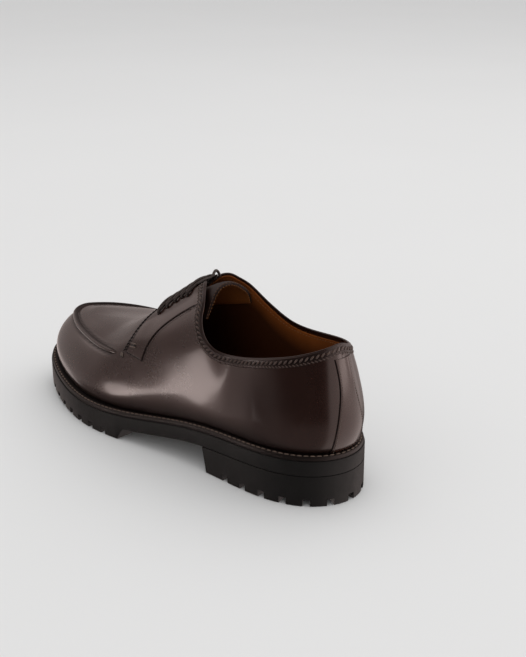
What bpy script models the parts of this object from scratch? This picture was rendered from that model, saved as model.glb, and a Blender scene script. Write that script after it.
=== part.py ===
"""Left derby shoe with an apron toe and a lugged rubber sole, put together piece by piece."""
import math

import bmesh
import bpy
import numpy as np

# Driving sizes, in millimetres
MM = 0.001
SOLE_LENGTH = 308.0
TOE_TIP_X = 4.0
GAP = 0.3
TIP_ROW = 0.35

WELT_THICK = 3.0
WELT_STEP = 0.8
UPPER_WALL = 2.0
INSOLE_RISE = 2.4
INSOLE_TIP_ROW = 3.0

OUTSOLE_THICK = 10.5
HEEL_BREAST = 97.0
BREAST_RAKE = 4.0
BREAST_ROW_STEP = 2.0
TREAD_START = 172.0
TREAD_STEP = 5.0
SPRING_START = 212.0
SPRING_LIFT = 9.2
SPRING_POWER = 1.8

LUG_PITCH = 14.0
HEEL_LUG_PITCH = 16.0
NOTCH_WIDTH = 5.0
NOTCH_REACH = 13.0
NOTCH_DEPTH = 5.0
NOTCH_PROUD = 2.0
NOTCH_START = 12.0
HEEL_NOTCH_STOP = 14.0
CUT_HALF = 10.0
CHANNEL_INSET = 15.0
CHANNEL_WIDTH = 4.6
CHANNEL_DEPTH = 4.4
CHANNEL_OVERRUN = 6.0
CROSS_WIDTH = 5.0
CROSS_DEPTH = 4.0
FOREFOOT_CROSSES = (198.0, 216.0, 234.0, 252.0, 270.0)
HEEL_CROSSES = (34.0, 54.0, 74.0)
SPINE_WIDTH = 5.2
SPINE_DEPTH = 3.6
SPINE_PLACE = 2.0
SPINE_END = 278.0

RIDGE_BACK = 38.0
RIDGE_FRONT = 252.0

TRIM_WIDTH = 6.0
TRIM_THICK = 0.9
OVERLAY_GAP = 0.42
FACING_THICK = 1.2
BACKSTAY_THICK = 0.8
PIPING_WIDTH = 4.6
PIPING_HEIGHT = 2.6
TONGUE_THICK = 2.0
TONGUE_CLEAR = 0.6
TONGUE_FREE = 0.4
EYELET_RADIUS = 1.5
EYELET_CUT_HALF = 4.5
EYELET_SIDES = 10
LACE_RADIUS = 1.35

# Outsole edge: station from the heel, half width to the outer side, half width to the inner side
EDGE_ROWS = np.array([
    (4, 15.5, 15.5), (18, 30.5, 30.5), (40, 39.0, 38.5), (70, 41.5, 38.5), (100, 42.0, 34.5),
    (130, 44.5, 32.5), (160, 49.5, 36.0), (190, 54.0, 44.5), (215, 53.8, 51.5), (240, 49.0, 54.5),
    (265, 40.5, 51.5), (288, 28.5, 39.0), (302, 15.0, 22.0)])

# Outsole top edge: station, height over the floor
RIM_ROWS = np.array([
    (0, 32.0), (60, 31.0), (110, 27.5), (160, 20.5), (205, 17.3), (240, 18.0), (275, 21.5), (308, 26.5)])

# Last sections: station, inset of the feather line, bulge, profile exponent, height of the bulge
SECTION_ROWS = np.array([
    (0, 4.6, 4.7, 1.64, 23), (40, 5.0, 3.6, 1.90, 22), (85, 5.4, 1.8, 2.10, 20),
    (120, 5.6, 1.4, 2.20, 18), (160, 6.0, 2.4, 2.25, 15), (205, 6.5, 3.4, 2.20, 13),
    (250, 6.6, 3.2, 2.15, 12), (308, 6.4, 3.0, 2.10, 11)])

# Last ridge: station, sideways place, height over the floor
RIDGE_ROWS = np.array([
    (38, 0.0, 148.0), (70, 0.0, 145.0), (95, 0.8, 138.5), (117, 1.8, 129.0), (140, 2.0, 112.5),
    (164, 2.0, 94.2), (190, 2.5, 80.0), (215, 3.0, 73.0), (235, 3.6, 69.2), (252, 4.0, 67.4)])

# Upper, toe to top corner, in degrees: foot, top and lift (outer side), top and lift (inner side);
# columns to the next row
THROAT_ROWS = np.array([
    (180, 180, 90, 180, 90, 7), (150, 150, 90, 150, 90, 6), (124, 124, 90, 124, 90, 6),
    (100, 97, 90, 97, 90, 2), (97.5, 95.6, 79, 95.6, 84, 1), (96, 94, 76.2, 94, 82.6, 2),
    (92, 90.5, 75.6, 90.5, 83, 3), (84.5, 83, 76, 82.2, 85, 1), (82, 80.9, 75, 79.9, 85, 0)])

# Collar, top corner to heel, in degrees: foot, top and lift (outer side), top and lift (inner side)
COLLAR_ROWS = np.array([
    (82, 80.9, 75, 79.9, 85), (79.5, 77.8, 62, 77.4, 76.3), (77, 76, 52.8, 75.6, 67),
    (74.3, 75.1, 44, 73, 58.8),
    (70.5, 72.5, 35.3, 69.9, 48.9), (66.5, 68.3, 30.8, 66.2, 41), (61, 62.3, 29.1, 60.9, 34.6),
    (53.5, 53.5, 30.3, 53.5, 32.2), (44, 44, 32.9, 44, 32.8), (33, 33, 36, 33, 35), (20, 20, 39.4, 20, 37.8),
    (9, 9, 41.4, 9, 40.6), (0, 0, 42, 0, 42)])
COLLAR_COLUMNS = 23
UPPER_ROWS = 10

# Apron seam from the toe to its end: angle round the outline, lift
SEAM_ROWS = np.array([
    (180, 51.0), (165, 50.0), (150, 48.5), (137, 45.5), (124, 42.4), (112.7, 38.0), (101.5, 31.8)])

# Facing, front edge and rear edge from the bottom up: angle round the outline and lift, outer then inner side
FACING_FRONT_ROWS = np.array([
    (98.6, 32.0, 98.6, 32.0), (97.4, 40.5, 97.4, 40.5), (97.0, 51.0, 97.0, 52.0), (97.0, 62.0, 97.0, 65.0),
    (95.9, 70.5, 96.0, 76.0), (93.6, 74.6, 93.6, 81.4), (90.3, 75.0, 90.2, 82.2), (86.0, 75.2, 85.8, 83.8),
    (83.9, 75.2, 83.4, 84.2)])
FACING_REAR_ROWS = np.array([
    (91.6, 25.2, 91.6, 25.2), (91.2, 30.0, 91.2, 30.0), (90.6, 34.6, 90.6, 34.6), (89.0, 41.0, 89.0, 41.0),
    (86.6, 45.6, 86.6, 45.8), (84.0, 48.4, 83.8, 49.2), (81.6, 50.4, 80.8, 52.4), (79.6, 51.6, 77.8, 55.2),
    (79.2, 52.0, 77.2, 56.0)])

# Eyelets from the bottom up: angle round the outline, lift on the outer side, lift on the inner side
EYELET_ROWS = np.array([
    (93.0, 58.0, 63.5), (90.8, 61.6, 68.5), (88.4, 64.2, 72.0), (85.9, 65.4, 74.0), (83.4, 64.4, 73.5)])

# Piping section: share of its width, share of its height
PIPING_SECTION = ((-0.5, 0.0), (-0.42, 0.55), (-0.16, 0.95), (0.16, 0.95), (0.42, 0.55), (0.5, 0.0))

# Backstay edge: lift, angle round the outline
BACKSTAY_ROWS = np.array([
    (1.2, 12.7), (9.6, 11.4), (15.8, 9.8), (21.3, 8.2), (26.3, 7.0), (31.4, 7.0), (37.0, 8.0)])

# Tongue from the front back, as it lies under the upper: angle round the outline, lift of its side edge
TONGUE_ROWS = np.array([(103, 66), (96, 57), (88, 51), (81, 47), (76, 45)])

# Tongue's free rear edge from its outer to its inner side: sideways, along, height over the floor
TONGUE_EDGE_ROWS = np.array([
    (-22.3, 112.0, 100.4), (-20.2, 110.9, 108.2), (-17.3, 109.6, 116.6), (-13.2, 108.1, 122.4),
    (-7.0, 106.5, 124.2), (0.0, 106.0, 122.4), (8.0, 106.8, 117.4), (15.0, 108.7, 111.1),
    (18.6, 110.2, 103.0)])

# Step for slopes worked out by difference, in radians
NUDGE = 1e-4


def clear_scene():
    for thing in list(bpy.data.objects):
        bpy.data.objects.remove(thing, do_unlink=True)


def spline(stations, values):
    """Natural cubic through the rows, carried on straight past both ends."""
    stations = np.asarray(stations, float)
    values = np.asarray(values, float)
    count = len(stations)
    step = np.diff(stations)
    slope = np.diff(values) / step
    matrix = np.eye(count)
    right = np.zeros(count)
    for i in range(1, count - 1):
        matrix[i, i - 1:i + 2] = step[i - 1], 2 * (step[i - 1] + step[i]), step[i]
        right[i] = 6 * (slope[i] - slope[i - 1])
    curve = np.linalg.solve(matrix, right)
    first = slope[0] - step[0] * curve[1] / 6
    last = slope[-1] + step[-1] * curve[-2] / 6

    def value(at):
        at = np.asarray(at, float)
        inside = np.clip(at, stations[0], stations[-1])
        k = np.clip(np.searchsorted(stations, inside, side="right") - 1, 0, count - 2)
        a = inside - stations[k]
        rise = slope[k] - step[k] * (2 * curve[k] + curve[k + 1]) / 6
        bend = (curve[k + 1] - curve[k]) / (6 * step[k])
        height = values[k] + a * rise + a * a * curve[k] / 2 + a ** 3 * bend
        return height + np.minimum(at - stations[0], 0) * first + np.maximum(at - stations[-1], 0) * last

    return value


def ring_spline(angles, values):
    """Closed cubic through rows given by angle, one full turn long."""
    turn = 2 * math.pi
    angles = np.concatenate([angles - turn, angles, angles + turn])
    return spline(angles, np.tile(values, 3))


def edge_curve():
    angle = np.arccos(1 - 2 * EDGE_ROWS[:, 0] / SOLE_LENGTH)
    angles = np.concatenate([-angle[::-1], [0.0], angle, [math.pi]])
    sides = np.concatenate([-EDGE_ROWS[::-1, 1], [0.0], EDGE_ROWS[:, 2], [TOE_TIP_X]])
    return ring_spline(angles, sides)


edge_x = edge_curve()
rim_height = spline(RIM_ROWS[:, 0], RIM_ROWS[:, 1])
feather_inset = spline(SECTION_ROWS[:, 0], SECTION_ROWS[:, 1])
bulge_depth = spline(SECTION_ROWS[:, 0], SECTION_ROWS[:, 2])
profile_power = spline(SECTION_ROWS[:, 0], SECTION_ROWS[:, 3])
bulge_height = spline(SECTION_ROWS[:, 0], SECTION_ROWS[:, 4])
ridge_x = spline(RIDGE_ROWS[:, 0], RIDGE_ROWS[:, 1])
ridge_height = spline(RIDGE_ROWS[:, 0], RIDGE_ROWS[:, 2])


def station(angle):
    return SOLE_LENGTH * (1 - np.cos(angle)) / 2


def angle_at(along):
    return np.arccos(1 - 2 * np.asarray(along, float) / SOLE_LENGTH)


def outline(angle, inset):
    """Plan point of the outsole edge at an angle, moved in by the inset."""
    tx = (edge_x(angle + NUDGE) - edge_x(angle - NUDGE)) / (2 * NUDGE)
    ty = SOLE_LENGTH * np.sin(angle) / 2
    size = np.hypot(tx, ty) + 1e-12
    return edge_x(angle) - inset * ty / size, station(angle) + inset * tx / size


def last_point(angle, lift):
    """Point of the last: angle round the outline, lift from the feather line up to the ridge."""
    along = station(angle)
    foot_x, foot_y = outline(angle, feather_inset(along))
    foot_z = rim_height(along) + WELT_THICK + GAP
    crest_y = RIDGE_BACK + (RIDGE_FRONT - RIDGE_BACK) * (1 - np.cos(angle)) / 2
    crest_x = ridge_x(crest_y)
    rise = ridge_height(crest_y) - foot_z
    power = 2 / profile_power(along)
    reach = np.maximum(np.cos(lift), 1e-9) ** power
    climb = rise * np.maximum(np.sin(lift), 1e-9) ** power
    level = climb / bulge_height(along)
    out_x = foot_x - crest_x
    out_y = foot_y - crest_y
    reach = reach + bulge_depth(along) * level * np.exp(1 - level) / (np.hypot(out_x, out_y) + 1e-9)
    return np.stack([crest_x + out_x * reach, crest_y + out_y * reach, foot_z + climb], -1)


def last_slopes(angle, lift):
    inside = np.clip(lift, 2 * NUDGE, math.pi / 2 - 20 * NUDGE)
    round_way = (last_point(angle + NUDGE, inside) - last_point(angle - NUDGE, inside)) / (2 * NUDGE)
    up_way = (last_point(angle, inside + NUDGE) - last_point(angle, inside - NUDGE)) / (2 * NUDGE)
    return round_way, up_way


def last_normal(angle, lift):
    round_way, up_way = last_slopes(angle, lift)
    normal = np.cross(round_way, up_way)
    return normal / np.linalg.norm(normal, axis=-1, keepdims=True)


def last_offset(angle, lift, offset):
    """Point of the last moved out along its own normal."""
    angle, lift, offset = np.broadcast_arrays(angle, lift, offset)
    return last_point(angle, lift) + last_normal(angle, lift) * offset[..., None]


def inset_on_last(angle, lift, distance):
    """Carry a line drawn on the last sideways over its surface, to the heel-side or down."""
    points = last_point(angle, lift)
    tangent = np.gradient(points, axis=0)
    tangent /= np.linalg.norm(tangent, axis=-1, keepdims=True)
    aside = np.cross(tangent, last_normal(angle, lift))
    round_way, up_way = last_slopes(angle, lift)
    moved = []
    for k in range(len(angle)):
        frame = np.stack([round_way[k], up_way[k]], -1)
        moved.append(np.linalg.lstsq(frame, aside[k] * distance, rcond=None)[0])
    moved = np.array(moved)
    return angle + moved[:, 0], lift + moved[:, 1]


def middle_x():
    turn = np.linspace(-math.pi, math.pi, 2001)
    sides = edge_x(turn)
    return (sides.min() + sides.max()) / 2


MIDDLE = np.array([middle_x(), SOLE_LENGTH / 2, 0.0])


def collection(name):
    made = bpy.data.collections.new(name)
    bpy.context.scene.collection.children.link(made)
    return made


def material(name, colour, roughness):
    made = bpy.data.materials.new(name)
    made.use_nodes = True
    shader = made.node_tree.nodes["Principled BSDF"]
    shader.inputs["Base Color"].default_value = (*colour, 1.0)
    shader.inputs["Roughness"].default_value = roughness
    return made


def solid(name, points, faces, into, look=None):
    """Closed mesh object from points in millimetres, with its faces turned outward."""
    mesh = bpy.data.meshes.new(name)
    placed = (np.asarray(points, float) - MIDDLE) * MM
    mesh.from_pydata(placed.tolist(), [], faces)
    work = bmesh.new()
    work.from_mesh(mesh)
    loose = [vertex for vertex in work.verts if not vertex.link_faces]
    bmesh.ops.delete(work, geom=loose, context="VERTS")
    bmesh.ops.recalc_face_normals(work, faces=work.faces)
    if work.calc_volume(signed=True) < 0:
        bmesh.ops.reverse_faces(work, faces=work.faces)
    work.to_mesh(mesh)
    work.free()
    thing = bpy.data.objects.new(name, mesh)
    into.objects.link(thing)
    if look is not None:
        mesh.materials.append(look)
    return thing


def sheet_solid(name, top, bottom, into, look):
    """Solid between two grids of points that share their layout."""
    rows, columns = top.shape[:2]
    points = np.concatenate([top.reshape(-1, 3), bottom.reshape(-1, 3)])
    base = rows * columns
    faces = []
    for r in range(rows - 1):
        for c in range(columns - 1):
            a = r * columns + c
            quad = (a, a + 1, a + columns + 1, a + columns)
            faces.append(quad)
            faces.append(tuple(base + k for k in reversed(quad)))
    rim = [c for c in range(columns)]
    rim += [r * columns + columns - 1 for r in range(1, rows)]
    rim += [(rows - 1) * columns + c for c in range(columns - 2, -1, -1)]
    rim += [r * columns for r in range(rows - 2, 0, -1)]
    for k, a in enumerate(rim):
        b = rim[(k + 1) % len(rim)]
        faces.append((b, a, base + a, base + b))
    return solid(name, points, faces, into, look)


def tube_solid(name, sections, into, look, closed):
    """Solid swept through sections of equal point count, capped unless it closes on itself."""
    count, sides = sections.shape[:2]
    faces = []
    for k in range(count if closed else count - 1):
        n = (k + 1) % count
        for s in range(sides):
            t = (s + 1) % sides
            faces.append((k * sides + s, k * sides + t, n * sides + t, n * sides + s))
    if not closed:
        faces.append(tuple(range(sides)))
        faces.append(tuple((count - 1) * sides + s for s in range(sides)))
    return solid(name, sections.reshape(-1, 3), faces, into, look)


def boxes(name, frames, into):
    """One cutter made of separate boxes: centre, along, across and up half sizes as vectors."""
    points = []
    faces = []
    corners = [(-1, -1, -1), (1, -1, -1), (1, 1, -1), (-1, 1, -1)]
    corners += [(i, j, 1) for i, j, _ in corners]
    quads = [(0, 3, 2, 1), (4, 5, 6, 7), (0, 1, 5, 4), (1, 2, 6, 5), (2, 3, 7, 6), (3, 0, 4, 7)]
    for centre, along, across, up in frames:
        base = len(points)
        for i, j, k in corners:
            points.append(centre + i * along + j * across + k * up)
        faces += [tuple(base + v for v in quad) for quad in quads]
    return solid(name, points, faces, into)


def cut(thing, cutter):
    cutter.hide_render = True
    cutter.display_type = "WIRE"
    step = thing.modifiers.new("cut " + cutter.name, "BOOLEAN")
    step.operation = "DIFFERENCE"
    step.solver = "EXACT"
    step.object = cutter


def spread(first, last, count):
    return np.linspace(first, last, count)


# Sole: a full-length rubber layer, its tread and the heel block under it
def tread_height(along):
    """Height of the walking surface: flat under heel and ball, rising to the toe."""
    share = np.clip((along - SPRING_START) / (SOLE_LENGTH - SPRING_START), 0, 1)
    return SPRING_LIFT * share ** SPRING_POWER


def outsole_bottom(along):
    arch = rim_height(along) - OUTSOLE_THICK
    share = np.clip((along - TREAD_START) / TREAD_STEP, 0, 1)
    return arch * (1 - share) + tread_height(along) * share


def plan_solid(name, alongs, low, high, inset, into, look):
    """Solid with the outsole's plan: rows across it at the given stations, flat from side to side."""
    angle = angle_at(alongs)
    left = np.stack(outline(-angle, inset), -1)
    right = np.stack(outline(angle, inset), -1)
    rows = np.stack([left, right], 1)
    top = np.concatenate([rows, high(rows[..., 1])[..., None]], -1)
    bottom = np.concatenate([rows, low(rows[..., 1])[..., None]], -1)
    return sheet_solid(name, top, bottom, into, look)


def sole_rows(first, last, extra, count):
    angles = spread(angle_at(first), angle_at(last), count)
    return np.unique(np.concatenate([station(angles), extra]))


def notch_frames(angles, depth):
    frames = []
    for angle in angles:
        x, y = outline(angle, NOTCH_REACH / 2 - NOTCH_PROUD)
        inner_x, inner_y = outline(angle, NOTCH_REACH)
        across = np.array([x - inner_x, y - inner_y, 0.0])
        across /= np.linalg.norm(across)
        along = np.array([across[1], -across[0], 0.0])
        top = tread_height(inner_y) + depth
        centre = np.array([x, y, top - CUT_HALF])
        reach = across * (NOTCH_REACH / 2 + NOTCH_PROUD)
        frames.append((centre, along * NOTCH_WIDTH / 2, reach, np.array([0, 0, CUT_HALF])))
    return frames


def even_angles(first, last, pitch):
    """Angles spaced evenly along the sole edge between two angles."""
    turn = np.linspace(first, last, 600)
    x, y = outline(turn, 0.0)
    run = np.concatenate([[0], np.cumsum(np.hypot(np.diff(x), np.diff(y)))])
    count = int(round(run[-1] / pitch))
    return np.interp((np.arange(count) + 0.5) * run[-1] / count, run, turn)


def channel(name, first, last, count, into):
    """Groove that runs round inside the edge lugs."""
    turn = np.linspace(first, last, count)
    outer = np.stack(outline(turn, CHANNEL_INSET - CHANNEL_WIDTH / 2), -1)
    inner = np.stack(outline(turn, CHANNEL_INSET + CHANNEL_WIDTH / 2), -1)
    top = tread_height((outer[:, 1] + inner[:, 1]) / 2) + CHANNEL_DEPTH
    low = top - 2 * CUT_HALF
    ring = [np.column_stack([outer, top]), np.column_stack([inner, top])]
    ring += [np.column_stack([inner, low]), np.column_stack([outer, low])]
    return tube_solid(name, np.stack(ring, 1), into, None, False)


def cross_frames(stations, depth):
    frames = []
    for along in stations:
        angle = angle_at(along)
        left = outline(-angle, CHANNEL_INSET)[0]
        right = outline(angle, CHANNEL_INSET)[0]
        centre = np.array([(left + right) / 2, along, tread_height(along) + depth - CUT_HALF])
        half = np.array([(right - left) / 2, 0, 0])
        frames.append((centre, half, np.array([0, CROSS_WIDTH / 2, 0]), np.array([0, 0, CUT_HALF])))
    return frames


def spine(name, stations, place, into):
    """Groove along the middle of the tread."""
    sections = []
    for along in stations:
        top = tread_height(along) + SPINE_DEPTH
        low = top - 2 * CUT_HALF
        left = place - SPINE_WIDTH / 2
        right = place + SPINE_WIDTH / 2
        sections.append([(left, along, top), (right, along, top), (right, along, low), (left, along, low)])
    return tube_solid(name, np.array(sections, float), into, None, False)


def make_outsole(parts, cutters, look):
    extra = [HEEL_BREAST, TREAD_START, TREAD_START + TREAD_STEP, SPRING_START]
    rows = sole_rows(TIP_ROW, SOLE_LENGTH - TIP_ROW, extra, 54)
    sole = plan_solid("outsole", rows, outsole_bottom, rim_height, 0.0, parts, look)
    start = angle_at(TREAD_START + NOTCH_START)
    edge = even_angles(start, 2 * math.pi - start, LUG_PITCH)
    cut(sole, boxes("forefoot_notches", notch_frames(edge, NOTCH_DEPTH), cutters))
    begin = angle_at(TREAD_START - CHANNEL_OVERRUN)
    cut(sole, channel("forefoot_channel", begin, 2 * math.pi - begin, 40, cutters))
    cut(sole, boxes("forefoot_crosses", cross_frames(FOREFOOT_CROSSES, CROSS_DEPTH), cutters))
    run = spread(TREAD_START - CHANNEL_OVERRUN, SPINE_END, 9)
    cut(sole, spine("forefoot_spine", run, SPINE_PLACE, cutters))
    return sole


def make_heel(parts, cutters, look):
    def heel_top(along):
        return rim_height(along) - OUTSOLE_THICK - GAP

    def heel_low(along):
        return np.zeros_like(along)

    rows = sole_rows(TIP_ROW, HEEL_BREAST - BREAST_RAKE - BREAST_ROW_STEP, [HEEL_BREAST], 24)
    heel = plan_solid("heel", rows, heel_low, heel_top, 0.0, parts, look)
    for vertex in heel.data.vertices:
        if vertex.co.y > (HEEL_BREAST - SOLE_LENGTH / 2 - 0.01) * MM and vertex.co.z < MM:
            vertex.co.y -= BREAST_RAKE * MM
    stop = angle_at(HEEL_BREAST - HEEL_NOTCH_STOP)
    edge = even_angles(-stop, stop, HEEL_LUG_PITCH)
    cut(heel, boxes("heel_notches", notch_frames(edge, NOTCH_DEPTH), cutters))
    end = angle_at(HEEL_BREAST + CHANNEL_OVERRUN)
    cut(heel, channel("heel_channel", -end, end, 30, cutters))
    cut(heel, boxes("heel_crosses", cross_frames(HEEL_CROSSES, CROSS_DEPTH), cutters))
    return heel


# Welt: a flat strip all the way round, stepped in from the outsole edge
def make_welt(parts, look):
    turn = np.linspace(-math.pi, math.pi, 81)[:-1]
    along = station(turn)
    outer = np.stack(outline(turn, WELT_STEP), -1)
    inner = np.stack(outline(turn, feather_inset(along) + UPPER_WALL + GAP), -1)
    ring = []
    for edge, lift in ((outer, GAP), (outer, WELT_THICK), (inner, WELT_THICK), (inner, GAP)):
        ring.append(np.column_stack([edge, rim_height(edge[:, 1]) + lift]))
    return tube_solid("welt", np.stack(ring, 1), parts, look, True)


# Insole: the plate the foot stands on, let down inside the welt
def make_insole(parts, look):
    rows = sole_rows(INSOLE_TIP_ROW, SOLE_LENGTH - INSOLE_TIP_ROW, [], 40)

    def low(along):
        return rim_height(along) + GAP

    def high(along):
        return rim_height(along) + WELT_THICK + INSOLE_RISE

    angle = angle_at(rows)
    inset = feather_inset(rows) + UPPER_WALL + 2 * GAP
    left = np.stack(outline(-angle, inset), -1)
    right = np.stack(outline(angle, inset), -1)
    plan = np.stack([left, (left + right) / 2, right], 1)
    top = np.concatenate([plan, high(plan[..., 1])[..., None]], -1)
    bottom = np.concatenate([plan, low(plan[..., 1])[..., None]], -1)
    return sheet_solid("insole", top, bottom, parts, look)


# Upper: one hollow wall over the last, closed over the toe, open at throat, collar and underneath
def collar_run():
    """Collar from the outer top corner round the heel to the inner one: foot, top and lift of the top."""
    outer = COLLAR_ROWS[:, [0, 1, 2]] * (-1, -1, 1)
    inner = COLLAR_ROWS[-2::-1, [0, 3, 4]]
    rows = np.concatenate([outer, inner])
    index = np.arange(len(rows))
    at = np.linspace(0, len(rows) - 1, 2 * COLLAR_COLUMNS + 1)
    return np.radians(np.stack([spline(index, rows[:, k])(at) for k in range(3)], -1))


def throat_side(wanted):
    """Columns of one side from the toe to the top corner: foot, top and lift of the top."""
    rows = []
    for now, after in zip(THROAT_ROWS[:-1], THROAT_ROWS[1:]):
        for k in range(int(now[5])):
            share = k / now[5]
            rows.append((now * (1 - share) + after * share)[wanted])
    return np.radians(np.array(rows))


def make_upper(parts, look):
    outer_side = throat_side([0, 1, 2])
    inner_side = throat_side([0, 3, 4])
    closed = int(np.sum(outer_side[:, 2] > math.radians(89.9)))
    columns = np.concatenate([outer_side * (-1, -1, 1), collar_run(), inner_side[:0:-1]])
    count = len(columns)
    share = np.linspace(0, 1, UPPER_ROWS + 1)
    angle = columns[:, 0, None] * (1 - share) + columns[:, 1, None] * share
    lift = columns[:, 2, None] * share
    lift[:, 0] = 0.0
    outer = last_point(angle, lift)
    inner = last_offset(angle, lift, np.full_like(lift, -UPPER_WALL))
    inner[:, 0, 2] = outer[:, 0, 2]
    points = np.concatenate([outer.reshape(-1, 3), inner.reshape(-1, 3)])
    wide = UPPER_ROWS + 1
    base = count * wide

    def corner(column, row):
        column %= count
        if row == UPPER_ROWS and column > count - closed:
            column = count - column
        return column * wide + row

    faces = []
    for c in range(count):
        for r in range(UPPER_ROWS):
            quad = (corner(c, r), corner(c + 1, r), corner(c + 1, r + 1), corner(c, r + 1))
            faces.append(quad)
            faces.append(tuple(base + k for k in reversed(quad)))
        a, b = corner(c, 0), corner(c + 1, 0)
        faces.append((b, a, base + a, base + b))
        if closed - 1 <= c <= count - closed:
            a, b = corner(c, UPPER_ROWS), corner(c + 1, UPPER_ROWS)
            faces.append((a, b, base + b, base + a))
    return solid("upper", points, faces, parts, look)


# Overlays on the upper: facings, collar trim, backstay and the piping of the apron seam
def along_rows(rows, count):
    """Rows of angle and lift resampled evenly by row, in radians."""
    at = np.linspace(0, len(rows) - 1, count)
    index = np.arange(len(rows))
    return np.radians(np.stack([np.interp(at, index, rows[:, 0]), np.interp(at, index, rows[:, 1])], -1))


def overlay(name, angle, lift, gap, thick, parts, look):
    top = last_offset(angle, lift, np.full_like(lift, gap + thick))
    bottom = last_offset(angle, lift, np.full_like(lift, gap))
    return sheet_solid(name, top, bottom, parts, look)


def make_facing(name, side, parts, look):
    wanted = [0, 1] if side < 0 else [2, 3]
    front = along_rows(FACING_FRONT_ROWS[:, wanted], 15)
    rear = along_rows(FACING_REAR_ROWS[:, wanted], 15)
    share = np.linspace(0, 1, 5)
    angle = front[:, 0, None] * (1 - share) + rear[:, 0, None] * share
    lift = front[:, 1, None] * (1 - share) + rear[:, 1, None] * share
    return overlay(name, side * angle, lift, OVERLAY_GAP, FACING_THICK, parts, look)


def make_trim(parts, look):
    run = collar_run()
    angle = run[:, 1]
    lift = run[:, 2]
    low_angle, low_lift = inset_on_last(angle, lift, TRIM_WIDTH)
    return overlay("collar_trim", np.stack([angle, low_angle], 1), np.stack([lift, low_lift], 1),
                   OVERLAY_GAP, TRIM_THICK, parts, look)


def make_backstay(parts, look):
    lift = np.radians(np.linspace(BACKSTAY_ROWS[0, 0], BACKSTAY_ROWS[-1, 0], 12))
    edge = np.radians(spline(BACKSTAY_ROWS[:, 0], BACKSTAY_ROWS[:, 1])(np.degrees(lift)))
    across = np.linspace(-1, 1, 5)
    angle = edge[:, None] * across
    return overlay("backstay", angle, lift[:, None] + 0 * angle, GAP, BACKSTAY_THICK, parts, look)


def seam_line(count):
    turn = np.concatenate([SEAM_ROWS[::-1, 0], 360 - SEAM_ROWS[1:, 0]])
    lift = np.concatenate([SEAM_ROWS[::-1, 1], SEAM_ROWS[1:, 1]])
    angle = np.linspace(turn[0], turn[-1], count)
    return -np.radians(angle), np.radians(spline(turn, lift)(angle))


def make_piping(parts, look):
    angle, lift = seam_line(41)
    base = last_point(angle, lift)
    normal = last_normal(angle, lift)
    tangent = np.gradient(base, axis=0)
    tangent /= np.linalg.norm(tangent, axis=-1, keepdims=True)
    aside = np.cross(tangent, normal)
    ring = []
    for wide, high in PIPING_SECTION:
        ring.append(base + aside * wide * PIPING_WIDTH + normal * (GAP + high * PIPING_HEIGHT))
    return tube_solid("apron_ridge", np.stack(ring, 1), parts, look, False)


# Eyelets: plain punched holes through facing and upper
def make_eyelet_cutter(name, side, cutters):
    points = []
    faces = []
    sides = EYELET_SIDES
    wanted = [0, 1] if side < 0 else [0, 2]
    for angle, lift in np.radians(EYELET_ROWS[:, wanted]):
        centre = last_point(side * angle, lift)
        normal = last_normal(side * angle, lift)
        first = np.cross(normal, (0.0, 1.0, 0.0))
        first /= np.linalg.norm(first)
        second = np.cross(normal, first)
        base = len(points)
        for height in (-EYELET_CUT_HALF, EYELET_CUT_HALF):
            for k in range(sides):
                turn = 2 * math.pi * k / sides
                ring = first * math.cos(turn) + second * math.sin(turn)
                points.append(centre + ring * EYELET_RADIUS + normal * height)
        for k in range(sides):
            n = (k + 1) % sides
            faces.append((base + k, base + n, base + sides + n, base + sides + k))
        faces.append(tuple(base + k for k in range(sides)))
        faces.append(tuple(base + sides + k for k in range(sides)))
    return solid(name, points, faces, cutters)


# Tongue: carried on under the facings from the apron, its rear end standing free as an arch inside the collar
def make_tongue(parts, look):
    at = np.linspace(0, 1, 11)
    index = np.linspace(0, 1, len(TONGUE_ROWS))
    turn = np.radians(spline(index, TONGUE_ROWS[:, 0])(at))
    edge = np.radians(spline(index, TONGUE_ROWS[:, 1])(at))
    share = np.linspace(0, 1, 5)
    rising = edge[:, None] * (1 - share) + math.pi / 2 * share
    angle = np.concatenate([-turn[:, None] + 0 * rising, turn[:, None] + 0 * rising[:, :-1]], 1)
    lift = np.concatenate([rising, rising[:, -2::-1]], 1)
    under = last_offset(angle, lift, np.full_like(lift, -UPPER_WALL - TONGUE_CLEAR))
    places = np.linspace(0, 1, lift.shape[1])
    index = np.linspace(0, 1, len(TONGUE_EDGE_ROWS))
    rear = np.stack([spline(index, TONGUE_EDGE_ROWS[:, k])(places) for k in range(3)], -1)
    free = np.clip((at - TONGUE_FREE) / (1 - TONGUE_FREE), 0, 1)
    free = (free * free * (3 - 2 * free))[:, None, None]
    top = under * (1 - free) + rear * free
    normal = np.cross(np.gradient(top, axis=0), np.gradient(top, axis=1))
    normal /= np.linalg.norm(normal, axis=-1, keepdims=True)
    return sheet_solid("tongue", top, top - normal * TONGUE_THICK, parts, look)


# Lace: five bars straight across the throat
def angle_across(along, lift, side):
    """Angle at which the last passes a station at a given lift."""
    low = np.full_like(lift, math.radians(60.0))
    high = np.full_like(lift, math.radians(120.0))
    for _ in range(40):
        middle = (low + high) / 2
        short = last_point(side * middle, lift)[:, 1] < along
        low = np.where(short, middle, low)
        high = np.where(short, high, middle)
    return side * middle


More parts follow.
